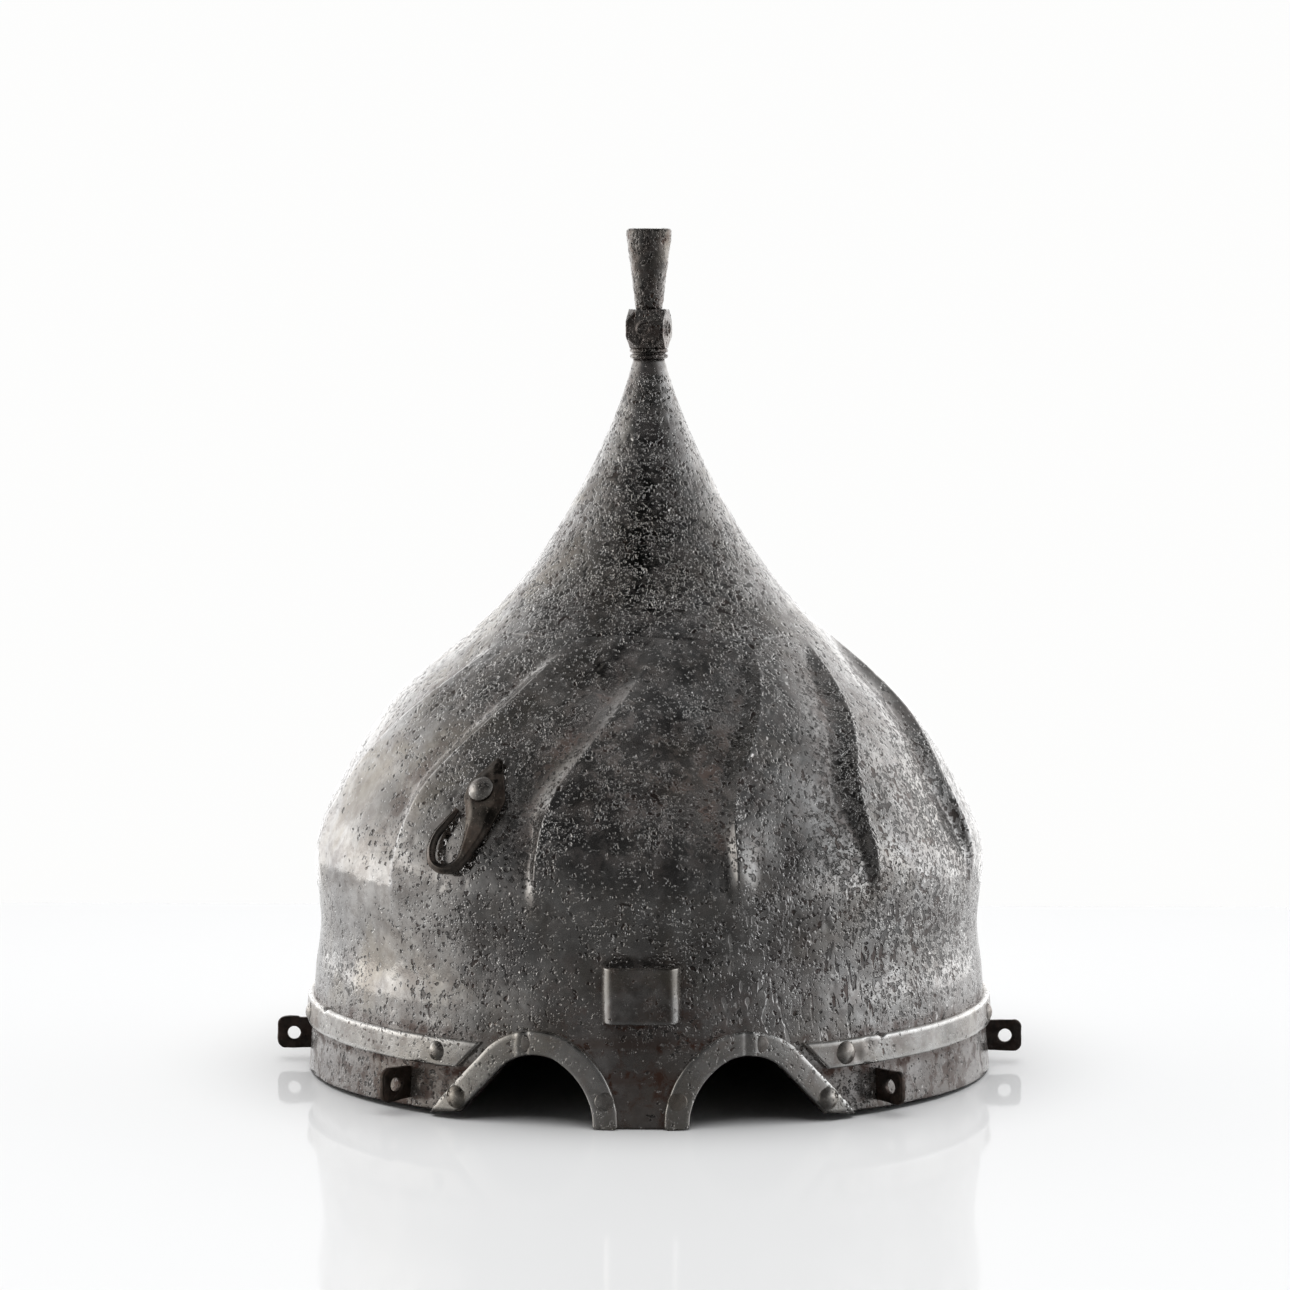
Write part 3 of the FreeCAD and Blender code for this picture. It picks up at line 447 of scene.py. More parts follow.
def metal(name, light, dark, rust_colour, rough=(0.3, 0.5), pits=0.4, pit_size=1.7, pit_depth=0.3,
          stain=0.45, rust=0.35, grain=0.03, mottle=14.0, fields=False):
    """Worn iron: mottled tone, brown stain, rust, pits cut by cells that pass a density, painted
    shade in the pits and painted highlight on their rims.

    Lengths are in millimetres. With fields, the mesh's own attributes say where the pitting, rust
    and warm patina are, and where the surface is smoother and carries a painted highlight.
    """
    material = bpy.data.materials.new(name)
    nodes = Nodes(material)
    maths, mix = nodes.math, nodes.mix
    shader = nodes.tree.nodes["Principled BSDF"]
    place = nodes.new("TexCoord").outputs["Object"]

    def field(key, otherwise):
        if not fields:
            return otherwise
        return nodes.new("Attribute", attribute_name=key).outputs["Fac"]

    def cloud(period, detail=3.0, roughness=0.55, distortion=0.0, shift=0.0, squash=1.0):
        moved = nodes.new("VectorMath", operation="MULTIPLY_ADD")
        moved.inputs[1].default_value = (1.0, 1.0, squash)
        moved.inputs[2].default_value = (shift, -shift, shift * 0.7)
        nodes.put(place, moved.inputs[0])
        made = nodes.new("TexNoise")
        for key, value in (
            ("Vector", moved.outputs[0]), ("Scale", 1 / (period * MM)), ("Detail", detail),
            ("Roughness", roughness), ("Distortion", distortion),
        ):
            nodes.put(value, made.inputs[key])
        return made

    def ramp(value, low, high, to_low=0.0, to_high=1.0):
        made = nodes.new("MapRange", interpolation_type="SMOOTHSTEP")
        return nodes.filled(made, (value, low, high, to_low, to_high))

    def blots(period, density, shift, squash=1.0):
        """Irregular pits where a broken noise passes a level that falls as the density rises."""
        level = maths("MULTIPLY_ADD", density, -0.18, 0.70)
        broken = cloud(period, 1.6, 0.55, 0.3, shift, squash).outputs["Fac"]
        return ramp(maths("SUBTRACT", broken, level), 0.0, 0.075)

    def cells(size, density, radius, seed_shift):
        """Pits: rounded cells with ragged edges, some left out by the density."""
        ragged = cloud(size * 0.7, 1.0, 0.5, 0.0, seed_shift)
        offset = nodes.new("VectorMath", operation="MULTIPLY_ADD")
        nodes.put(ragged.outputs["Color"], offset.inputs[0])
        offset.inputs[1].default_value = (size * MM * 0.9,) * 3
        nodes.put(place, offset.inputs[2])
        made = nodes.new("TexVoronoi")
        made.inputs["Scale"].default_value = 1 / (size * MM)
        nodes.put(offset.outputs[0], made.inputs["Vector"])
        split = nodes.new("SeparateColor")
        nodes.put(made.outputs["Color"], split.inputs[0])
        reach = maths("MULTIPLY_ADD", split.outputs[1], radius * 0.7, radius * 0.6)
        depth = maths("SUBTRACT", 1.0, ramp(
            made.outputs["Distance"], maths("MULTIPLY", reach, 0.45), reach))
        there = ramp(maths("SUBTRACT", density, split.outputs[0]), 0.0, 0.08)
        return maths("MULTIPLY", depth, there)

    density = maths("MULTIPLY_ADD", field("pitting", 0.5), 1.1, pits - 0.55)
    patch = ramp(cloud(22.0, 2.0, shift=0.31).outputs["Fac"], 0.3, 0.7, -0.22, 0.22)
    density = maths("ADD", density, patch)
    large = cells(pit_size, maths("ADD", density, -0.06), 0.46, 0.0)
    small = cells(pit_size * 0.5, density, 0.48, 0.17)
    sunk = maths("MAXIMUM", large, maths("MULTIPLY", small, 0.6))
    sunk = maths("MAXIMUM", sunk, blots(pit_size * 1.25, density, 0.63), clamp=True)
    if fields:
        chains = maths("MULTIPLY", field("streak", 0.0), blots(pit_size * 1.2, 0.72, 0.41, 0.3))
        sunk = maths("MAXIMUM", sunk, chains, clamp=True)

    tone = ramp(cloud(mottle, 5.0, 0.62, 0.3).outputs["Fac"], 0.34, 0.66)
    speckle = ramp(cloud(2.1, 3.0, 0.7, shift=0.5).outputs["Fac"], 0.35, 0.7)
    body = mix(tone, dark, light)
    body = mix(maths("MULTIPLY", speckle, 0.3), body, tuple(c * 0.62 for c in dark))
    polish_and_highlight = field("polish_and_highlight", 0.08)
    # Painted highlight: the colour lightens where polish_and_highlight is high; further down the
    # same field also lowers the roughness.
    body = mix(maths("MULTIPLY", polish_and_highlight, 0.7), body, tuple(min(1.0, c + 0.33) for c in light))
    brown = ramp(cloud(31.0, 6.0, 0.66, 0.6, shift=0.9).outputs["Fac"], 0.42, 0.68)
    brown = maths("MULTIPLY", brown, maths(
        "MULTIPLY_ADD", field("warm", 0.4), stain * 1.2, stain * 0.5), clamp=True)
    body = mix(brown, body, tuple(c * b for c, b in zip((0.74, 0.66, 0.53), light)))
    reddish = ramp(cloud(7.0, 6.0, 0.7, 0.4, shift=1.7).outputs["Fac"], 0.4, 0.62)
    corroded = maths("MULTIPLY", reddish, maths(
        "MULTIPLY_ADD", field("rust", 0.25), 1.5 * rust, 0.25 * rust), clamp=True)
    corroded = maths("MAXIMUM", corroded, maths("MULTIPLY", field("rust", 0.0), 0.85 * rust))
    body = mix(corroded, body, rust_colour)
    # Painted shade: the deepest pits are darkened to a very dark grey, blended in patches with
    # half-strength rust colour for the rust in their floors.
    painted_pit_shade = tuple(0.35 * c for c in dark)
    pit_floor_shade_and_rust = mix(ramp(cloud(9.0, 3.0, shift=2.3).outputs["Fac"], 0.45, 0.62),
                       painted_pit_shade, tuple(0.5 * c for c in rust_colour))
    pit_shade_and_rust = maths("MULTIPLY", ramp(sunk, 0.55, 0.92), 0.7)
    body = mix(pit_shade_and_rust, body, pit_floor_shade_and_rust)
    # Painted highlight: the colour lightens on the shallow rims of the pits.
    below_lip = maths("SUBTRACT", 1.0, ramp(sunk, 0.2, 0.6))
    pit_rim_highlight = maths("MULTIPLY", ramp(sunk, 0.02, 0.2), below_lip)
    body = mix(maths("MULTIPLY", pit_rim_highlight, 0.5), body, tuple(min(1.0, c * 1.5) for c in light))
    nodes.put(body, shader.inputs["Base Color"])

    metallic = maths("SUBTRACT", 1.0, maths("MULTIPLY", corroded, 0.75), clamp=True)
    nodes.put(metallic, shader.inputs["Metallic"])
    gloss = ramp(cloud(5.5, 4.0, 0.6, shift=3.1).outputs["Fac"], 0.3, 0.7, rough[0], rough[1])
    gloss = maths("ADD", gloss, maths("MULTIPLY", corroded, 0.35))
    gloss = maths("ADD", gloss, maths("MULTIPLY", pit_shade_and_rust, 0.05))
    gloss = maths("SUBTRACT", gloss, maths("MULTIPLY", polish_and_highlight, 0.1), clamp=True)
    nodes.put(gloss, shader.inputs["Roughness"])

    relief = maths("MULTIPLY", sunk, -pit_depth)
    waves = cloud(4.2, 4.0, 0.6, shift=4.4).outputs["Fac"]
    relief = maths("ADD", relief, maths("MULTIPLY", waves, grain * 2.4))
    fine = cloud(0.8, 3.0, 0.65, shift=5.2).outputs["Fac"]
    relief = maths("ADD", relief, maths("MULTIPLY", fine, grain * 0.7))
    press = nodes.new("Bump")
    press.inputs["Distance"].default_value = MM
    press.inputs["Strength"].default_value = 1.0
    nodes.put(relief, press.inputs["Height"])
    nodes.put(press.outputs[0], shader.inputs["Normal"])
    return material


RUST = (0.17, 0.075, 0.045)
STEEL = {
    "skull": metal("skull_iron", (0.56, 0.55, 0.54), (0.27, 0.263, 0.256), (0.10, 0.048, 0.032),
                   rough=(0.07, 0.15), pits=0.56, pit_size=1.9, pit_depth=0.6, stain=0.3, rust=0.8,
                   fields=True),
    "band": metal("band_iron", (0.66, 0.65, 0.63), (0.38, 0.37, 0.355), RUST, rough=(0.19, 0.33),
                  pits=0.3, pit_size=1.5, pit_depth=0.2, stain=0.35, rust=0.4, fields=True),
    "rivets": metal("rivet_iron", (0.62, 0.60, 0.57), (0.34, 0.325, 0.31), RUST, rough=(0.12, 0.26),
                    pits=0.1, pit_size=1.0, pit_depth=0.12, mottle=4.0),
    "lug_iron": metal("lug_iron", (0.12, 0.10, 0.09), (0.03, 0.027, 0.025), RUST,
                      rough=(0.26, 0.45), pits=0.25, pit_size=1.2, pit_depth=0.15, mottle=4.0),
    "bracket": metal("bracket_iron", (0.40, 0.39, 0.38), (0.13, 0.126, 0.12), RUST,
                     rough=(0.16, 0.3), pits=0.24, pit_size=1.3, pit_depth=0.15, mottle=7.0,
                     fields=True),
    "hook_steel": metal("hook_iron", (0.22, 0.195, 0.17), (0.08, 0.07, 0.063), RUST,
                        rough=(0.2, 0.34), pits=0.02, pit_size=1.1, pit_depth=0.1, mottle=5.0),
    "finial_steel": metal("finial_iron", (0.33, 0.315, 0.30), (0.10, 0.094, 0.09), RUST,
                          rough=(0.1, 0.22), pits=0.6, pit_size=1.6, pit_depth=0.3, mottle=6.0),
    "rove_iron": metal("rove_iron", (0.16, 0.14, 0.13), (0.06, 0.05, 0.045), RUST,
                       rough=(0.45, 0.65), pits=0.4, pit_size=1.2, pit_depth=0.15, rust=0.8),
}


# ---------------------------------------------------------------- skull

def eye_floor(azimuth):
    """Height of the skull's lower edge: the rim, or the eye cut-out above it."""
    path = outline(EYE_START, EYE_RUNS, 0.25)[::-1]
    folded = fold(azimuth)
    across = RIM_RADIUS * np.sin(np.radians(EYE_AZIMUTH - np.abs(folded)))
    inside = np.abs(folded) < 45
    arch = np.where(inside, np.interp(across, path[:, 0], path[:, 1]), -5.0)
    front = np.clip(np.cos(np.radians(folded)), 0, 1) * FRONT_RISE
    return np.maximum(arch, np.where(np.abs(folded) < 12, 0.0, front))


def skull_columns():
    marks = [c + d for c in CRESTS for d in (-0.4, 0.0, 0.45)]
    for across in (18.88, 18.84, 18.6, 18.2, 17.4):
        turn = EYE_AZIMUTH - math.degrees(math.asin(across / RIM_RADIUS))
        marks += [turn, -turn]
    marks = sorted({round((m + 75) % 360 - 75, 4) for m in marks})
    columns = []
    for low, high in zip(marks, marks[1:] + [marks[0] + 360]):
        pitch = 0.34 if abs((low + high) / 2) < 34 else 0.56
        count = max(1, math.ceil((high - low) / pitch))
        columns += [low + (high - low) * k / count for k in range(count)]
    while len(columns) % 4:
        widest = max(range(len(columns) - 1), key=lambda k: columns[k + 1] - columns[k])
        columns.insert(widest + 1, (columns[widest] + columns[widest + 1]) / 2)
    return np.array(columns)


def scribed_height(azimuth):
    """The wavering line cut where the flutes end."""
    a = fold(azimuth)
    wander = 0.5 * noise(at(a, 60.0, 0.0), 40.0, 61)
    wander *= smooth(np.abs(a), 45, 80)
    return SCRIBE_HEIGHT + 1.8 * bump(a, -29, 24) - 0.7 * bump(a, 17, 26) + wander


def arc_rows(low, high, step):
    """Heights at even steps along the profile."""
    fine = np.linspace(low, high, 4000)
    length = np.concatenate([[0], np.cumsum(np.hypot(np.diff(fine), np.diff(profile(fine))))])
    count = round(length[-1] / step)
    return np.interp(np.linspace(0, length[-1], count + 1), length, fine)


def skull_pitting(azimuth, height, points):
    """How thickly the surface is pitted, from 0 to 1."""
    a = fold(azimuth)
    amount = 0.42 + 0.3 * noise(points, 46.0, 3, 2) - 0.14 * bump(a, -4, 30)
    middle = smooth(height, 28, 60) * (1 - smooth(height, 150, 190))
    amount += 0.22 * bump(a, 48, 62) * middle
    amount -= 0.16 * bump(a, -66, 34) * middle
    amount += 0.26 * smooth(height, 150, 175)
    amount -= 0.6 * smooth(height, 239, 244)
    amount -= 0.15 * (1 - smooth(height, 20, 30))
    return np.clip(amount, 0, 1)


def make_skull():
    rng = np.random.default_rng(11)
    columns = skull_columns()
    count = len(columns)
    floor = eye_floor(columns)
    worn = np.clip(noise(at(columns, RIM_RADIUS, 0.0), 9.0, 5, 2), 0, 1) * 0.5
    floor = floor + worn
    seam = SEAM_HEIGHT

    heights, insets = [], []
    for lift, inset in ((0.0, 0.5), (0.2, 0.14), (0.6, 0.0)):
        heights.append(floor + lift)
        insets.append(inset)
    base_rows = 27
    for k in range(1, base_rows + 1):
        heights.append(floor + 0.6 + (seam - floor - 0.6) * k / base_rows)
        insets.append(0.0)
    line = SCRIBE_HEIGHT
    for z in arc_rows(seam, line - 0.8, 1.22)[1:]:
        heights.append(np.full(count, z))
        insets.append(0.0)
    for offset, inset in ((-0.38, 0.1), (0.0, 0.42), (0.38, 0.1), (0.8, 0.0)):
        heights.append(np.full(count, line + offset))
        insets.append(inset)
    split = len(heights)
    for z in arc_rows(line + 0.8, APEX, 1.3)[1:]:
        heights.append(np.full(count, z))
        insets.append(0.0)
    heights = np.array(heights)
    heights += (scribed_height(columns) - line) * bump(heights, line, 16)

    turned = np.broadcast_to(columns, heights.shape)
    share = flute_share(turned, heights)
    azimuths = turned + twist(heights)
    radii = profile(heights) - share * flute_depth(heights) - np.array(insets)[:, None]
    hollow = smooth(turned, RIDGE, RIDGE + 4.5) * (1 - smooth(turned, RIDGE + 6, RIDGE + 16))
    radii -= 1.8 * hollow * bump(heights, 86.0, 17.0)
    shape = heights.shape
    points = at(azimuths, radii, heights).reshape(-1, 3)
    flat_a, flat_z = azimuths.ravel(), heights.ravel()

    slope = profile_slope(flat_z)
    out = at(flat_a, 1.0, -slope)
    out /= np.linalg.norm(out, axis=1)[:, None]
    hammered = 0.5 * noise(points, 33.0, 1) + 0.26 * noise(points, 14.0, 2)
    hammered += 0.07 * noise(points, 5.5, 4)
    calm = 0.35 + 0.65 * smooth(flat_z, 28, 60)
    calm *= 1 - 0.75 * smooth(flat_z, 150, 235)
    rings = smooth(flat_z, 229, 233) * 0.05 * np.sin(flat_z * 2.6)
    rings -= 0.12 * bump(flat_z, 226.0, 0.9) + 0.09 * bump(flat_z, 222.6, 0.8)
    shift = hammered * calm + rings

    pitting = skull_pitting(flat_a, flat_z, points)
    tree = kdtree.KDTree(len(points))
    for number, point in enumerate(points):
        tree.insert(point, number)
    tree.balance()
    fine = np.linspace(6, 233, 900)
    weight = np.cumsum(profile(fine) * np.hypot(1, profile_slope(fine)))
    tries = 9000
    pick_z = np.interp(rng.random(tries) * weight[-1], weight, fine)
    pick_a = rng.random(tries) * 360
    reach = 1.0 + 1.1 * rng.random(tries) ** 2.0
    deep = 0.08 + 0.2 * rng.random(tries)
    fate = rng.random(tries)
    turned_back = pick_a - twist(pick_z)
    seat = profile(pick_z) - flute_share(turned_back, pick_z) * flute_depth(pick_z)
    pick = at(pick_a, seat, pick_z)
    chance = skull_pitting(pick_a, pick_z, pick) * 0.75
    there = fate < chance
    sunk = np.zeros(len(points))
    ragged = noise(points, 1.9, 9)
    for centre, wide, depth in zip(pick[there], reach[there], deep[there]):
        for _, number, distance in tree.find_range(centre, wide * 1.3):
            d = distance / wide * (1 + 0.3 * ragged[number])
            if d < 1:
                sunk[number] = max(sunk[number], depth * (1 - d * d) ** 1.5)
    points = points + out * (shift - sunk)[:, None]

    folded = fold(flat_a)
    flat_share = share.ravel()
    flute = flute_depth(flat_z) / FLUTE_DEPTH
    foot_side = smooth(flat_share, 0.72, 1.0) * flute
    patches = noise(points, 38.0, 21, 3)
    rust = 0.02 + 0.3 * foot_side + 0.25 * patches
    rust += 0.55 * bump(np.abs(folded), 0, 11) * bump(flat_z, 40, 26)
    rust += 0.35 * bump(np.abs(folded), 8, 16) * bump(flat_z, 30, 30)
    rust += 0.5 * bump(flat_z, BAND_TOP + 1.0, 3.5) + 0.6 * bump(flat_z, BAND_BOTTOM - 1.0, 3.5)
    # Rust along the lowest strip; the second term makes the front middle browner and darker.
    rust += 0.45 * (1 - smooth(flat_z, 10, 22)) + 0.25 * bump(folded, 0, 26) * bump(flat_z, 105, 45)
    warm = 0.35 + 0.4 * noise(points, 55.0, 22, 2)
    warm += 0.55 * bump(folded, -68, 46) - 0.25 * bump(folded, 60, 60)
    # Painted highlight along the flute crests, and painted sheen on the sides and back below the
    # cone, on top of random smoother patches.
    crest_highlight = bump(flat_share, 0.0, 0.06) * flute
    polish_and_highlight = 0.04 + 0.12 * noise(points, 24.0, 23, 3) + 0.45 * crest_highlight
    polish_and_highlight += 0.3 * smooth(np.abs(folded), 24, 60) * (1 - smooth(flat_z, 150, 190))
    attributes = {
        "pitting": pitting,
        "rust": np.clip(rust, 0, 1),
        "warm": np.clip(warm, 0, 1),
        "polish_and_highlight": np.clip(polish_and_highlight, 0, 1),
        "streak": bump(folded, 40, 34) * smooth(flat_z, 22, 34) * (1 - smooth(flat_z, 62, 84)),
    }

    # The upper rows keep every second column.
    number = np.arange(heights.size).reshape(shape)
    keep = np.ones(shape, bool)
    keep[split:, 1::2] = False
    names = np.full(shape, -1)
    names[keep] = np.arange(int(keep.sum()))
    order = number[keep]
    points = points[order]
    attributes = {key: values[order] for key, values in attributes.items()}
    lower = [list(row) for row in names[:split]]
    upper = [list(row[::2]) for row in names[split:]]
    faces = grid_faces(lower) + halving_faces(lower[-1], upper[0]) + grid_faces(upper)

    # The hollow, from the ceiling down to the rim, on fewer columns.
    inner_columns = columns[::2]
    inner_floor = floor[::2]
    stations = list(arc_rows(seam, CEILING, 4.0)[::-1])
    low_rows = [inner_floor + (seam - inner_floor) * k / 9 for k in range(8, 0, -1)] + [
        inner_floor + 0.35, inner_floor]
    low_insets = [0.0] * 9 + [-0.35]
    inner_points, inner_rows = [], []
    start = len(points)

    def inner_row(which, z, inset):
        wall = WALL * np.hypot(1, profile_slope(z))
        r = profile(z) - flute_share(which, z) * flute_depth(z) - wall - inset
        row = at(which + twist(z), r, z)
        push = 0.35 * noise(row, 12.0, 31, 2) + 0.3 * noise(row, 30.0, 32)
        row[:, :2] *= (1 + push * np.minimum(1.0, r / 60) / np.maximum(r, 1))[:, None]
        first = start + sum(len(p) for p in inner_points)
        inner_points.append(row)
        inner_rows.append(list(range(first, first + len(row))))

    for z in stations:
        inner_row(inner_columns[::2], np.full(len(inner_columns) // 2, float(z)), 0.0)
    coarse = len(inner_rows)
    for z, inset in zip(low_rows, low_insets):
        inner_row(inner_columns, z, inset)
    faces += grid_faces(inner_rows[:coarse])
    faces += halving_faces(inner_rows[coarse], inner_rows[coarse - 1], up=False)
    faces += grid_faces(inner_rows[coarse:])
    faces += halving_faces(lower[0], inner_rows[-1], up=False)

    everything = np.concatenate([points] + inner_points)
    for ring, z, flip in ((upper[-1], APEX, False), (inner_rows[0], CEILING, True)):
        faces += fan_faces(ring, len(everything), flip)
        everything = np.concatenate([everything, [[0.0, 0.0, z]]])
    inside = len(everything) - len(points)
    defaults = {"pitting": 0.4, "rust": 0.75, "warm": 0.6, "polish_and_highlight": 0.0, "streak": 0.0}
    for key, value in defaults.items():
        attributes[key] = np.concatenate([attributes[key], np.full(inside, value)])
    return build("skull_shell", everything, faces, attributes)


show(make_skull(), "skull", "skull")


# ---------------------------------------------------------------- bands

def edge_fields(points, bright, seed, rust=0.35):
    """Rubbed wear and a painted highlight where bright is high, with less rust there, and rust in
    patches, for a band or strap.
    """
    patches = noise(points, 16.0, seed, 3)
    return {
        "pitting": np.clip(0.45 + 0.35 * noise(points, 18.0, seed + 1, 2), 0, 1),
        "rust": np.clip(rust + 0.5 * patches - 0.4 * bright, 0, 1),
        "warm": np.clip(0.4 + 0.4 * noise(points, 25.0, seed + 2), 0, 1),
        "polish_and_highlight": np.clip(0.2 + 0.3 * noise(points, 9.0, seed + 3, 2) + 0.7 * bright, 0, 1),
    }


def cone_radius(height):
    return RIM_RADIUS - BASE_TAPER * height


def brow_point(side, across, height, rise):
    turn = np.degrees(np.arcsin(across / cone_radius(height)))
    azimuth = (turn - EYE_AZIMUTH) * (1 if side == "left" else -1)
    return at(azimuth, cone_radius(height) + rise, height)


def mirrored_section(half, width, middle_rise):
    """Offsets across a strap and rises over the skull, from one half of its section."""
    whole = half + [(width / 2, middle_rise)] + [(width - u, h) for u, h in half[::-1]]
    return np.array(whole).T


def make_brow(side):
    seed = 101 if side == "left" else 151
    path = outline(EYE_START, EYE_RUNS, 0.6)
    keep = (path[:, 1] > 3.9) & (path[:, 0] > -12.7)
    path = path[keep]
    tangent = np.gradient(path, axis=0)
    for _ in range(6):
        tangent[1:-1] = (tangent[:-2] + 2 * tangent[1:-1] + tangent[2:]) / 4
    tangent /= np.linalg.norm(tangent, axis=1)[:, None]
    normal = np.stack([-tangent[:, 1], tangent[:, 0]], axis=1)
    normal *= np.sign(normal[len(normal) // 2, 1])
    across, rise = mirrored_section([
        (0.0, -0.6), (0.0, 0.5), (0.0, 1.35), (0.22, 1.72), (0.62, BROW_THICKNESS), (1.6, 1.94),
        (2.8, 1.96),
    ], BROW_WIDTH, 1.97)

    def leg(corner, side_normal, direction, end_height):
        """Sections from an end cut level up to the start of the curve."""
        begin = corner + across[:, None] * side_normal
        length = (begin[:, 1] - end_height) / -direction[1]
        steps = 12
        made = []
        for k in range(steps + 1):
            share = 1 - k / steps
            inset = 0.9 * max(0.0, share - 0.86) / 0.14
            squeezed = BROW_WIDTH / 2 + (across - BROW_WIDTH / 2) * (1 - inset * 2 / BROW_WIDTH)
            start = corner + squeezed[:, None] * side_normal
            made.append(start + direction * (length * share)[:, None])
        return made

    nose_way = np.array([0.6, -9.0]) / math.hypot(0.6, 9.0)
    outer_way = np.array([-22.5, -23.6]) / math.hypot(22.5, 23.6)
    nose_rows = leg(path[0], normal[0], nose_way, 0.25)
    outer_rows = leg(path[-1], normal[-1], outer_way, 2.2)
    curved_rows = [p + across[:, None] * n for p, n in zip(path, normal)]
    rows = nose_rows[:-1] + curved_rows + outer_rows[::-1][1:]

    sections = []
    lump_at = -6.3 if side == "left" else -2.6
    for k, row in enumerate(rows):
        x, z = row[:, 0], row[:, 1]
        spot = np.stack([x, z, rise], axis=1)
        lift = 0.14 * noise(spot, 7.0, seed, 2) + 0.05 * noise(spot, 2.0, seed + 1)
        if z.mean() > 18:
            lift += bump(x, lump_at, 1.9) * 0.45 - bump(x, lump_at + 2.6, 0.8) * 0.55
        lift = np.where(rise > 1, lift, 0)
        ragged = 0.12 * noise(spot * (1, 1, 0), 3.0, seed + 2, 2)
        sections.append(brow_point(side, x + ragged, z, rise + lift))
    points, faces = sweep(sections)
    if side == "left":
        faces = [f[::-1] for f in faces]
    count = len(rows)
    # Rubbed wear and a painted highlight on the strap's rounded edges, stronger towards the outer
    # end, and the whole face grows lighter and smoother towards the outer end.
    edge = np.tile(((rise > 1.2) & ((across < 0.7) | (across > 7.3))).astype(float), count)
    along = np.repeat(np.linspace(0, 1, count), len(across))
    made = build(f"brow_strap_{side}", points, faces, edge_fields(
        points, edge * (0.6 + 0.4 * along) + 0.3 * smooth(along, 0.45, 0.8), seed + 5, rust=0.3))
    show(made, "band", f"brow_band_{side}")


for side in ("left", "right"):
    make_brow(side)


# Nicks in the top edge: azimuth, half width in degrees, depth.
BAND_NICKS = [(-67, 1.3, 1.0), (41.5, 1.0, 1.1), (118, 1.5, 0.8), (-140, 1.2, 0.9)]
# Dents in the face: azimuth, height on the band, half width in degrees, depth.
BAND_DENTS = [(36.4, 3.2, 1.3, 0.7), (38.4, 7.3, 1.1, 0.6), (-101, 5.0, 1.6, 0.5)]
MM_PER_DEGREE = 2.05


def make_rim_band():
    up, rise = mirrored_section([
        (0.0, -0.6), (0.0, 0.6), (0.0, 1.45), (0.22, 1.82), (0.65, BAND_THICKNESS), (1.8, 2.04),
        (3.2, 2.06),
    ], BAND_WIDTH, 2.07)
    middle = BAND_WIDTH / 2
    reach = 360 - 2 * BAND_END
    sections = []
    for turn in np.linspace(0, reach, 621):
        skew = BAND_SKEW * (1 - smooth(turn, 0, 9)) - BAND_SKEW * smooth(turn, reach - 9, reach)
        azimuth = -BAND_END - turn + skew * (up - middle)
        folded = fold(azimuth)
        height = BAND_BOTTOM + up - 0.5 * bump(folded, 0, 80)
        spot = at(azimuth, 118.0 + rise, height)
        edge = np.where(up > middle, 1.0, -1.0)
        height = height + 0.2 * noise(spot, 11.0, 201, 2) - 0.12 * edge * np.abs(
            noise(spot * (1, 1, 0.0), 4.0, 202, 2))
        for centre, wide, deep in BAND_NICKS:
            height = height - np.where(up > 8, deep * bump(folded, centre, wide), 0)
        lift = 0.13 * noise(spot, 9.0, 203, 2) + 0.05 * noise(spot, 2.5, 204)
        for centre, level, wide, deep in BAND_DENTS:
            away = np.hypot((folded - centre) * MM_PER_DEGREE, up - level) / (wide * MM_PER_DEGREE)
            lift -= deep * (1 - smooth(away, 0, 1))
        lift = np.where(rise > 1, lift, 0)
        sections.append(at(azimuth, cone_radius(height) + rise + lift, height))
    points, faces = sweep(sections)
    faces = [f[::-1] for f in faces]
    # Rubbed wear and a painted highlight on the top and bottom edges of the outer face, with less
    # rust there.
    edge = np.tile(((rise > 1.2) & ((up < 0.7) | (up > 8.5))).astype(float), len(sections))
    made = build("rim_strap", points, faces, edge_fields(points, edge, 210, rust=0.25))
    show(made, "band", "rim_band")


make_rim_band()


# ---------------------------------------------------------------- rivets

def facing(azimuth, tilt=0.0):
    """Columns: across the skull, up it and straight out, leaning up by tilt."""
    a, t = math.radians(azimuth), math.radians(tilt)
    return np.array([
        [math.cos(a), -math.sin(a) * math.sin(t), math.sin(a) * math.cos(t)],
        [math.sin(a), math.cos(a) * math.sin(t), -math.cos(a) * math.cos(t)],
        [0.0, math.cos(t), math.sin(t)],
    ])


CONE_TILT = math.degrees(math.atan(BASE_TAPER))


def dome(radius, rise, skirt=0.6, sides=40, power=2.3, rings=11):
    """A rivet's head, with a skirt that goes below its seat."""
    section = [(0.0, -skirt), (radius * 0.9, -skirt), (radius, 0.0)]
    for k in range(1, rings):
        share = 1 - k / rings
        section.append((radius * share, rise * (1 - share ** power)))
    section.append((0.0, rise))
    return revolve(section, sides)


def band_rivets(name, node, seats, thickness):
    """Rivet heads on a band with their clenched ends inside.

    A seat is an azimuth, a height, the head's radius and its rise.
    """
    parts = []
    for k, (azimuth, height, radius, rise) in enumerate(seats):
        turn = facing(azimuth, CONE_TILT)
        for surface, (points, faces) in (
            (thickness, dome(radius, rise)),
            (-WALL - 0.05, dome(CLENCH_RADIUS, CLENCH_RISE)),
        ):
            beating = 0.16 * noise(points + 40 * k, 3.0, 301 + k, 2)[:, None]
            beaten = points + beating * (0.8, 0.8, 0.5)
            if surface < 0:
                beaten = beaten * (1, -1, -1)
            seat = at(azimuth, float(cone_radius(height)) + surface, height)
            parts.append((beaten @ turn.T + seat, faces))
    points, faces = joined(parts)
    show(build(name, points, faces), "rivets", node)


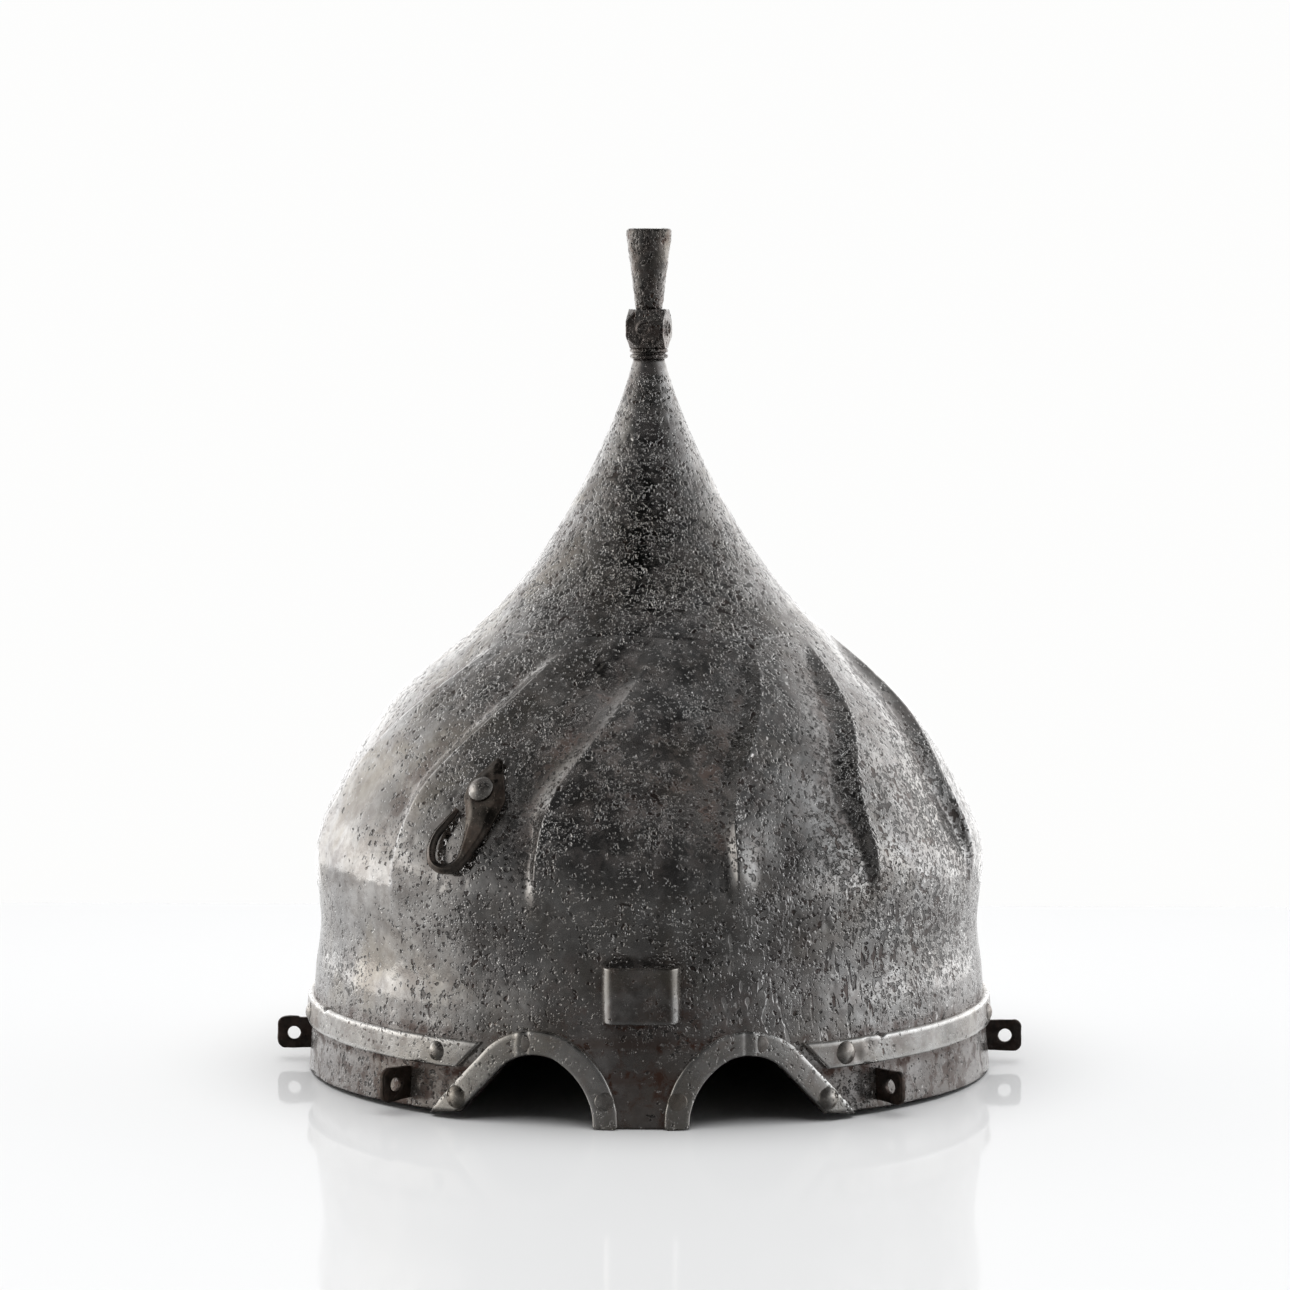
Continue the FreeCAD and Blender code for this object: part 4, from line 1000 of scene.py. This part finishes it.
for side, sign in (("left", 1), ("right", -1)):
    seats = []
    for across, height, radius, rise in BROW_RIVETS:
        turn = math.degrees(math.asin(across / RIM_RADIUS))
        seats.append((sign * (turn - EYE_AZIMUTH), height, radius, rise))
    band_rivets(f"brow_studs_{side}", f"brow_rivets_{side}", seats, BROW_THICKNESS)

# The second rivet, at the band's right end, has the largest head.
rim_seats = [(azimuth, RIM_RIVET_HEIGHT, 3.8 if k == 1 else 3.3, RIM_RIVET_RISE)
             for k, azimuth in enumerate(RIM_RIVETS)]
band_rivets("rim_studs", "rim_band_rivets", rim_seats, BAND_THICKNESS)


# ---------------------------------------------------------------- lugs

def make_lug(name, azimuth, seed):
    """A pierced plate standing out of the rim; its clenched tang is joined on after."""
    rng = np.random.default_rng(seed)
    start = cone_radius(LUG_HEIGHT) - 1.0
    end, half, corner = LUG_TIP, LUG_HALF_WIDTH, LUG_CORNER
    wander = rng.uniform(-0.35, 0.35, 4)
    ring = [(start, -half + 0.5), (end - corner, -half + wander[0])]
    for centre_y, first in ((-half + corner, -90), (half - corner, 0)):
        for k in range(7):
            t = math.radians(first + 15 * k)
            ring.append((end - corner + (corner + 0.15 * wander[1]) * math.cos(t) - 0.1,
                         centre_y + corner * math.sin(t) + wander[2] * 0.2))
    ring += [(end - corner, half + wander[3]), (start, half - 0.4)]
    hole = [(LUG_HOLE_AT + x, y) for x, y in circle(LUG_HOLE_RADIUS, 28)]
    made = remesh(plate(name + "_plate", [ring, hole], LUG_THICKNESS, 0.35), 0.36, 1)
    points = points_of(made)
    points = points + normals_of(made) * (0.16 * noise(points, 3.4, seed, 2))[:, None]
    points[:, 1] *= 1 - 0.05 * smooth(points[:, 0], LUG_TIP - 4, LUG_TIP)
    out = at(azimuth, 1.0, 0.0)
    bend = 0.03 * rng.uniform(-1, 1) * (points[:, 0] - start) ** 2 / 12
    local = np.stack([points[:, 0], points[:, 1] + LUG_HEIGHT, points[:, 2] + bend], axis=1)
    placed = local @ np.stack([out, [0.0, 0.0, 1.0], np.cross(out, [0.0, 0.0, 1.0])])
    move_to(made, placed)
    return made


def block(low, high):
    """A closed box."""
    (x0, y0, z0), (x1, y1, z1) = low, high
    points = np.array([(x, y, z) for x in (x0, x1) for y in (y0, y1) for z in (z0, z1)], float)
    faces = [(0, 1, 3, 2), (4, 6, 7, 5), (0, 4, 5, 1), (2, 3, 7, 6), (0, 2, 6, 4), (1, 5, 7, 3)]
    return points, faces


def merge_objects(target, others):
    """Adds the other objects' meshes to the target's."""
    welded = bmesh.new()
    for thing in [target] + others:
        welded.from_mesh(thing.data)
    welded.to_mesh(target.data)
    welded.free()
    for thing in others:
        bpy.data.objects.remove(thing)
    target.data.shade_smooth()
    return target


for k, (name, azimuth) in enumerate(LUGS.items()):
    lug = make_lug(name, azimuth, 401 + 7 * k)
    inner = cone_radius(LUG_HEIGHT) - WALL
    wide, tall = TANG_WIDTH / 2, TANG_HEIGHT / 2
    points, faces = block((inner - TANG_DEPTH, -wide, LUG_HEIGHT - tall),
                          (inner - TANG_GAP, wide, LUG_HEIGHT + tall))
    tang = remesh(build(name + "_tang", points, faces), 0.45, 3)
    out = at(azimuth, 1.0, 0.0)
    turn = np.stack([out, np.cross([0.0, 0.0, 1.0], out), [0.0, 0.0, 1.0]])
    move_to(tang, points_of(tang) @ turn)
    merge_objects(lug, [tang])
    show(lug, "lug_iron", name)


# ---------------------------------------------------------------- nasal bracket

def make_bracket():
    """A strap bent off the skull to guide a nose bar, its bends and lower edge smoother and painted
    with a highlight.
    """
    half = [(-13.25, -112.0), (-13.1, -117.6), (-12.4, -120.2), (-10.9, -122.3), (-9.2, -123.2),
            (-4.5, -123.3)]
    path = np.array(half + [(-x, y) for x, y in half[::-1]])
    for _ in range(3):
        cut = [path[0]]
        for a, b in zip(path, path[1:]):
            cut += [0.75 * a + 0.25 * b, 0.25 * a + 0.75 * b]
        path = np.array(cut + [path[-1]])
    length = np.concatenate([[0], np.cumsum(np.linalg.norm(np.diff(path, axis=0), axis=1))])
    even = np.linspace(0, length[-1], 76)
    path = np.stack([np.interp(even, length, line) for line in path.T], axis=1)
    tangent = np.gradient(path, axis=0)
    tangent /= np.linalg.norm(tangent, axis=1)[:, None]
    outward_way = np.stack([tangent[:, 1], -tangent[:, 0]], axis=1)
    low, high, thick = BRACKET_BOTTOM, BRACKET_TOP, BRACKET_THICKNESS
    levels = np.linspace(low + 0.5, high - 0.5, 22)
    loop = [(-thick, low + 0.3), (-thick + 0.3, low), (-0.3, low), (-0.06, low + 0.18)]
    loop += [(0.0, z) for z in levels]
    loop += [(-0.06, high - 0.18), (-0.3, high), (-thick + 0.3, high), (-thick, high - 0.3)]
    loop += [(-thick, z) for z in levels[::-3]]
    loop = np.array(loop)
    sections = []
    for point, way in zip(path, outward_way):
        flat = point + loop[:, :1] * way
        spot = np.concatenate([flat, loop[:, 1:]], axis=1)
        dent = 0.16 * noise(spot, 7.0, 501, 2) + 0.05 * noise(spot, 1.8, 502)
        rim = 0.22 * noise(spot * (1, 1, 0.02), 4.5, 503, 2) * np.sign(loop[:, 1] - 44.2)
        flat = flat + dent[:, None] * way
        sections.append(np.concatenate([flat, (loop[:, 1] + rim)[:, None]], axis=1))
    points, faces = sweep(sections)
    # Painted highlight, with smoother metal, on the bends and along the lower edge.
    bend = bump(np.abs(points[:, 0]), BRACKET_BEND, 2.6)
    lower_edge = bump(points[:, 2], low + 0.3, 1.0)
    fields = edge_fields(points, np.clip(bend + lower_edge, 0, 1), 510, rust=0.3)
    made = build("nose_bracket", points, faces, fields)
    tangs = []
    for sign in (-1, 1):
        middle = 10.8 * sign
        tang_points, tang_faces = block((middle - 2, -110.9, 40.3), (middle + 2, -109.3, 48.2))
        plain = {key: np.full(len(tang_points), 0.3) for key in fields}
        tangs.append(build("tang", tang_points, tang_faces, plain))
    merge_objects(made, tangs)
    show(made, "bracket", "nasal_bracket")


make_bracket()


# ---------------------------------------------------------------- hook

hook_azimuth = math.atan2(HOOK_AXIS[0], -HOOK_AXIS[1])
hook_across = np.array([math.cos(hook_azimuth), math.sin(hook_azimuth), 0.0])
HOOK_FRAME = np.stack([hook_across, np.cross(HOOK_AXIS, hook_across), HOOK_AXIS])


def make_hook():
    ring = outline(HOOK_START, HOOK_RUNS + [[HOOK_START]], 0.45)[:-1]
    bore = circle(HOOK_BORE_RADIUS, 32)
    made = remesh(plate("hook_plate", [ring, bore], HOOK_THICKNESS, 0.4), 0.33, 2)
    points = points_of(made)
    flat = points[:, :2]
    distance = np.min(np.linalg.norm(flat[:, None] - ring[None], axis=2), axis=1)
    body = smooth(flat[:, 1], -16, -9) * smooth(flat[:, 0], -10, -5)
    crown = (0.34 + 0.16 * (1 - body)) * (1 - smooth(distance, 0.0, 1.5 + 1.6 * body))
    top = points[:, 2] > 0
    points[:, 2] -= np.where(top, 2.0 * crown * points[:, 2], 0.0)
    points[:, 2] -= 0.25 * (1 - body) * top
    points = points + normals_of(made) * (0.09 * noise(points, 3.5, 601, 2))[:, None]
    local = points + (0, 0, HOOK_GAP + HOOK_THICKNESS / 2)
    move_to(made, local @ HOOK_FRAME + HOOK_PIVOT)
    show(made, "hook_steel", "hook", body="hook")


def make_hook_rivet():
    """The hook's domed rivet, its shank and its clenched tail."""
    head, head_faces = dome(4.5, 2.4, skirt=0.0, sides=56, power=2.1, rings=16)
    head = head + 0.14 * noise(head, 3.4, 611, 2)[:, None] * (0.7, 0.7, 1.0)
    head[:, 2] = np.maximum(head[:, 2], -0.1) + STUD_SEAT
    low, high, radius = -STUD_REACH, STUD_SEAT + 0.4, STUD_SHANK_RADIUS
    tail, tail_faces = dome(3.3, 0.9, skirt=0.1)
    tail = tail * (1, -1, -1) + (0, 0, low)
    points, faces = joined([
        (head, head_faces),
        revolve([(0, low), (radius, low), (radius, high), (0, high)]),
        (tail, tail_faces),
    ])
    show(build("hook_stud", points @ HOOK_FRAME + HOOK_PIVOT, faces), "rivets", "hook_rivet")


make_hook()
make_hook_rivet()


# ---------------------------------------------------------------- finial

def turned_piece(name, node, section, seed, coarse, fine):
    points, faces = revolve(section, sides=72)
    made = build(name, points, faces)
    weather(made, seed, coarse, fine, 3.2)
    show(made, "finial_steel", node)


def densify(section, step):
    """Adds points along a section's straight runs."""
    full = [section[0]]
    for a, b in zip(section, section[1:]):
        count = max(1, round(math.hypot(b[0] - a[0], b[1] - a[1]) / step))
        full += [(a[0] + (b[0] - a[0]) * k / count, a[1] + (b[1] - a[1]) * k / count)
                 for k in range(1, count + 1)]
    return full


turned_piece("finial_ring", "finial_collar", densify([
    (0.0, 247.0), (6.0, 247.0), (6.55, 247.35), (6.7, 247.9), (6.5, 248.4), (5.8, 248.7),
    (5.8, 248.95), (6.45, 249.2), (6.7, 249.7), (6.55, 250.2), (6.1, 250.6), (0.0, 250.6),
], 0.3), 701, 0.12, 0.08)

turned_piece("finial_flare", "finial_stem", densify([
    (0.0, 234.8), (3.1, 234.8), (3.6, 236.4), (2.4, 236.5), (2.4, 263.9), (4.3, 264.0),
    (4.65, 264.6), (5.0, 267.5), (7.6, 287.2), (7.85, 289.8), (7.75, 291.2), (7.25, 291.8),
    (5.6, 292.0), (2.6, 291.8), (0.0, 291.7),
], 0.5), 711, 0.2, 0.14)


def make_knop():
    """A block with its corners cut off and a raised ring on each side."""
    cube = bmesh.new()
    bmesh.ops.create_cube(cube, size=1.0)
    size = Vector((KNOP_WIDTH, KNOP_WIDTH, KNOP_HEIGHT)) * MM
    bmesh.ops.scale(cube, vec=size, verts=cube.verts)
    bmesh.ops.bevel(cube, geom=cube.verts[:], offset=KNOP_BEVEL * MM, segments=1, profile=0.5,
                    affect="VERTICES")
    mesh = bpy.data.meshes.new("knop_block")
    cube.to_mesh(mesh)
    cube.free()
    made = add_object("finial_block", mesh)
    torus = np.array([
        ((KNOP_RING_RADIUS + x) * c, KNOP_RING_AT + y, (KNOP_RING_RADIUS + x) * s)
        for c, s in circle(1.0, 28) for x, y in circle(KNOP_RING_WIRE, 10)])
    rows = np.arange(len(torus)).reshape(28, 10).tolist()
    faces = [f[::-1] for f in grid_faces(rows + rows[:1])]
    rings = [build("ring", torus @ about_z(k * math.pi / 2).T, faces) for k in range(4)]
    merge_objects(made, rings)
    remesh(made, 0.24, 2)
    weather(made, 721, 0.14, 0.06, 3.0)
    points = points_of(made)
    points[:, :2] *= (1 - 0.05 * smooth(-points[:, 2], 2.5, 6.7))[:, None]
    move_to(made, points @ about_z(math.radians(KNOP_TURN)).T + (0, 0, KNOP_CENTRE))
    show(made, "finial_steel", "finial_knop")


make_knop()

for name in ("hook_rove", "finial_rove"):
    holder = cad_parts[name]
    holder.data.materials.clear()
    holder.data.materials.append(STEEL["rove_iron"])


# ---------------------------------------------------------------- floor, light and camera

FLOOR_HALF_WIDTH, FLOOR_FRONT, FLOOR_BACK = 3000.0, -3400.0, 363.0
FLOOR_SEEN = (0.955, 0.96, 0.965)
FLOOR_MIRRORED = (0.16, 0.16, 0.16)
FLOOR_GLOSS_SEEN, FLOOR_GLOSS_MIRRORED = 0.12, 0.5
WHITE = (1.0, 1.0, 1.0)
BACKDROP = (0.985, 0.985, 0.98)
WORLD_STRENGTH = 1.5


def make_floor():
    """A glossy pale table, open from below."""
    ends = ((-FLOOR_HALF_WIDTH, FLOOR_FRONT), (FLOOR_HALF_WIDTH, FLOOR_FRONT),
            (FLOOR_HALF_WIDTH, FLOOR_BACK), (-FLOOR_HALF_WIDTH, FLOOR_BACK))
    table = build("floor", [(x, y, 0.0) for x, y in ends], [(0, 1, 2, 3)])
    material = bpy.data.materials.new("pale_table")
    nodes = Nodes(material)
    nodes.tree.nodes.clear()
    # The metal sees a greyer table than the eye does, as it does on a sheet that mostly mirrors.
    eye = nodes.new("LightPath").outputs["Is Camera Ray"]
    gloss = nodes.math("MULTIPLY_ADD", eye, FLOOR_GLOSS_SEEN - FLOOR_GLOSS_MIRRORED,
                       FLOOR_GLOSS_MIRRORED)
    matt, shine, clear = (nodes.new("Bsdf" + kind) for kind in ("Diffuse", "Glossy", "Transparent"))
    nodes.put(nodes.mix(eye, FLOOR_MIRRORED, FLOOR_SEEN), matt.inputs["Color"])
    nodes.put(0.06, shine.inputs["Roughness"])
    nodes.put(WHITE, shine.inputs["Color"])
    top = nodes.blend(gloss, matt.outputs[0], shine.outputs[0])
    below = nodes.new("NewGeometry").outputs["Backfacing"]
    surface = nodes.blend(below, top, clear.outputs[0])
    nodes.put(surface, nodes.new("OutputMaterial").inputs["Surface"])
    table.data.materials.append(material)


make_floor()


def make_world():
    """A white studio, darker where the photographer stands so that the iron keeps its contrast."""
    world = bpy.data.worlds.new("studio")
    bpy.context.scene.world = world
    nodes = Nodes(world)
    nodes.tree.nodes.clear()
    way = nodes.new("SeparateXYZ")
    nodes.put(nodes.new("TexCoord").outputs["Generated"], way.inputs[0])

    def ramp(value, stops):
        made = nodes.new("ValToRGB")
        made.color_ramp.interpolation = "EASE"
        while len(made.color_ramp.elements) < len(stops):
            made.color_ramp.elements.new(0.5)
        for element, (position, level) in zip(made.color_ramp.elements, stops):
            element.position = position
            element.color = (*(level if isinstance(level, tuple) else (level,) * 3), 1)
        nodes.put(value, made.inputs[0])
        return made.outputs[0]

    def background(colour, strength):
        made = nodes.new("Background")
        return nodes.filled(made, (colour, strength))

    front = nodes.math("MULTIPLY", way.outputs["Y"], -1.0)
    turn = nodes.math("DIVIDE", nodes.math("ARCTAN2", way.outputs["X"], front), math.tau)
    turn = nodes.math("ADD", turn, 0.5)
    # The ramp runs from behind the helmet round its left side to the front, and on round its right.
    round_light = ramp(turn, [
        (0.0, 1.0), (0.12, 1.0), (0.24, (1.0, 0.98, 0.95)), (0.29, (0.72, 0.705, 0.68)),
        (0.36, 0.2), (0.43, 0.07), (0.5, 0.04), (0.57, 0.07), (0.64, 0.2),
        (0.71, (0.69, 0.705, 0.72)), (0.76, (0.96, 0.98, 1.0)), (0.88, 1.0), (1.0, 1.0),
    ])
    up_light = ramp(way.outputs["Z"], [
        (0.0, 1.0), (0.17, 1.0), (0.36, 0.72), (0.56, 0.4), (0.76, 0.11), (1.0, 0.05),
    ])
    lit = background(nodes.mix(1.0, round_light, up_light, "MULTIPLY"), WORLD_STRENGTH)
    eye = nodes.new("LightPath").outputs["Is Camera Ray"]
    surface = nodes.blend(eye, lit, background(BACKDROP, 1.0))
    nodes.put(surface, nodes.new("OutputWorld").inputs["Surface"])


make_world()


def soft_box(name, place, size, power):
    """A broad lamp that lights matt surfaces and isn't seen in the metal's reflections."""
    lamp = bpy.data.lights.new(name, "AREA")
    lamp.shape, lamp.size, lamp.energy = "DISK", size, power
    holder = add_object(name, lamp)
    holder.location = place
    holder.rotation_euler = (Vector(place)).to_track_quat("Z", "Y").to_euler()
    holder.visible_glossy = holder.visible_camera = False


soft_box("overhead", (0.0, -0.2, 2.2), 3.0, 48.0)

bpy.context.scene.view_settings.view_transform = "Standard"

CAMERA_DISTANCE, CAMERA_HEIGHT = 1500.0, 285.0
CAMERA_PITCH, CAMERA_AZIMUTH, CAMERA_YAW = 5.25, 1.24, 0.053
camera_data = bpy.data.cameras.new("camera")
camera_data.lens, camera_data.sensor_width = 120.4, 36.0
camera_data.clip_start, camera_data.clip_end = 0.05, 50.0
camera = add_object("camera", camera_data)
camera.location = Vector(at(CAMERA_AZIMUTH, CAMERA_DISTANCE, CAMERA_HEIGHT) * MM)
camera.rotation_euler = (
    math.radians(90 - CAMERA_PITCH), 0.0, math.radians(CAMERA_AZIMUTH + CAMERA_YAW))
bpy.context.scene.camera = camera
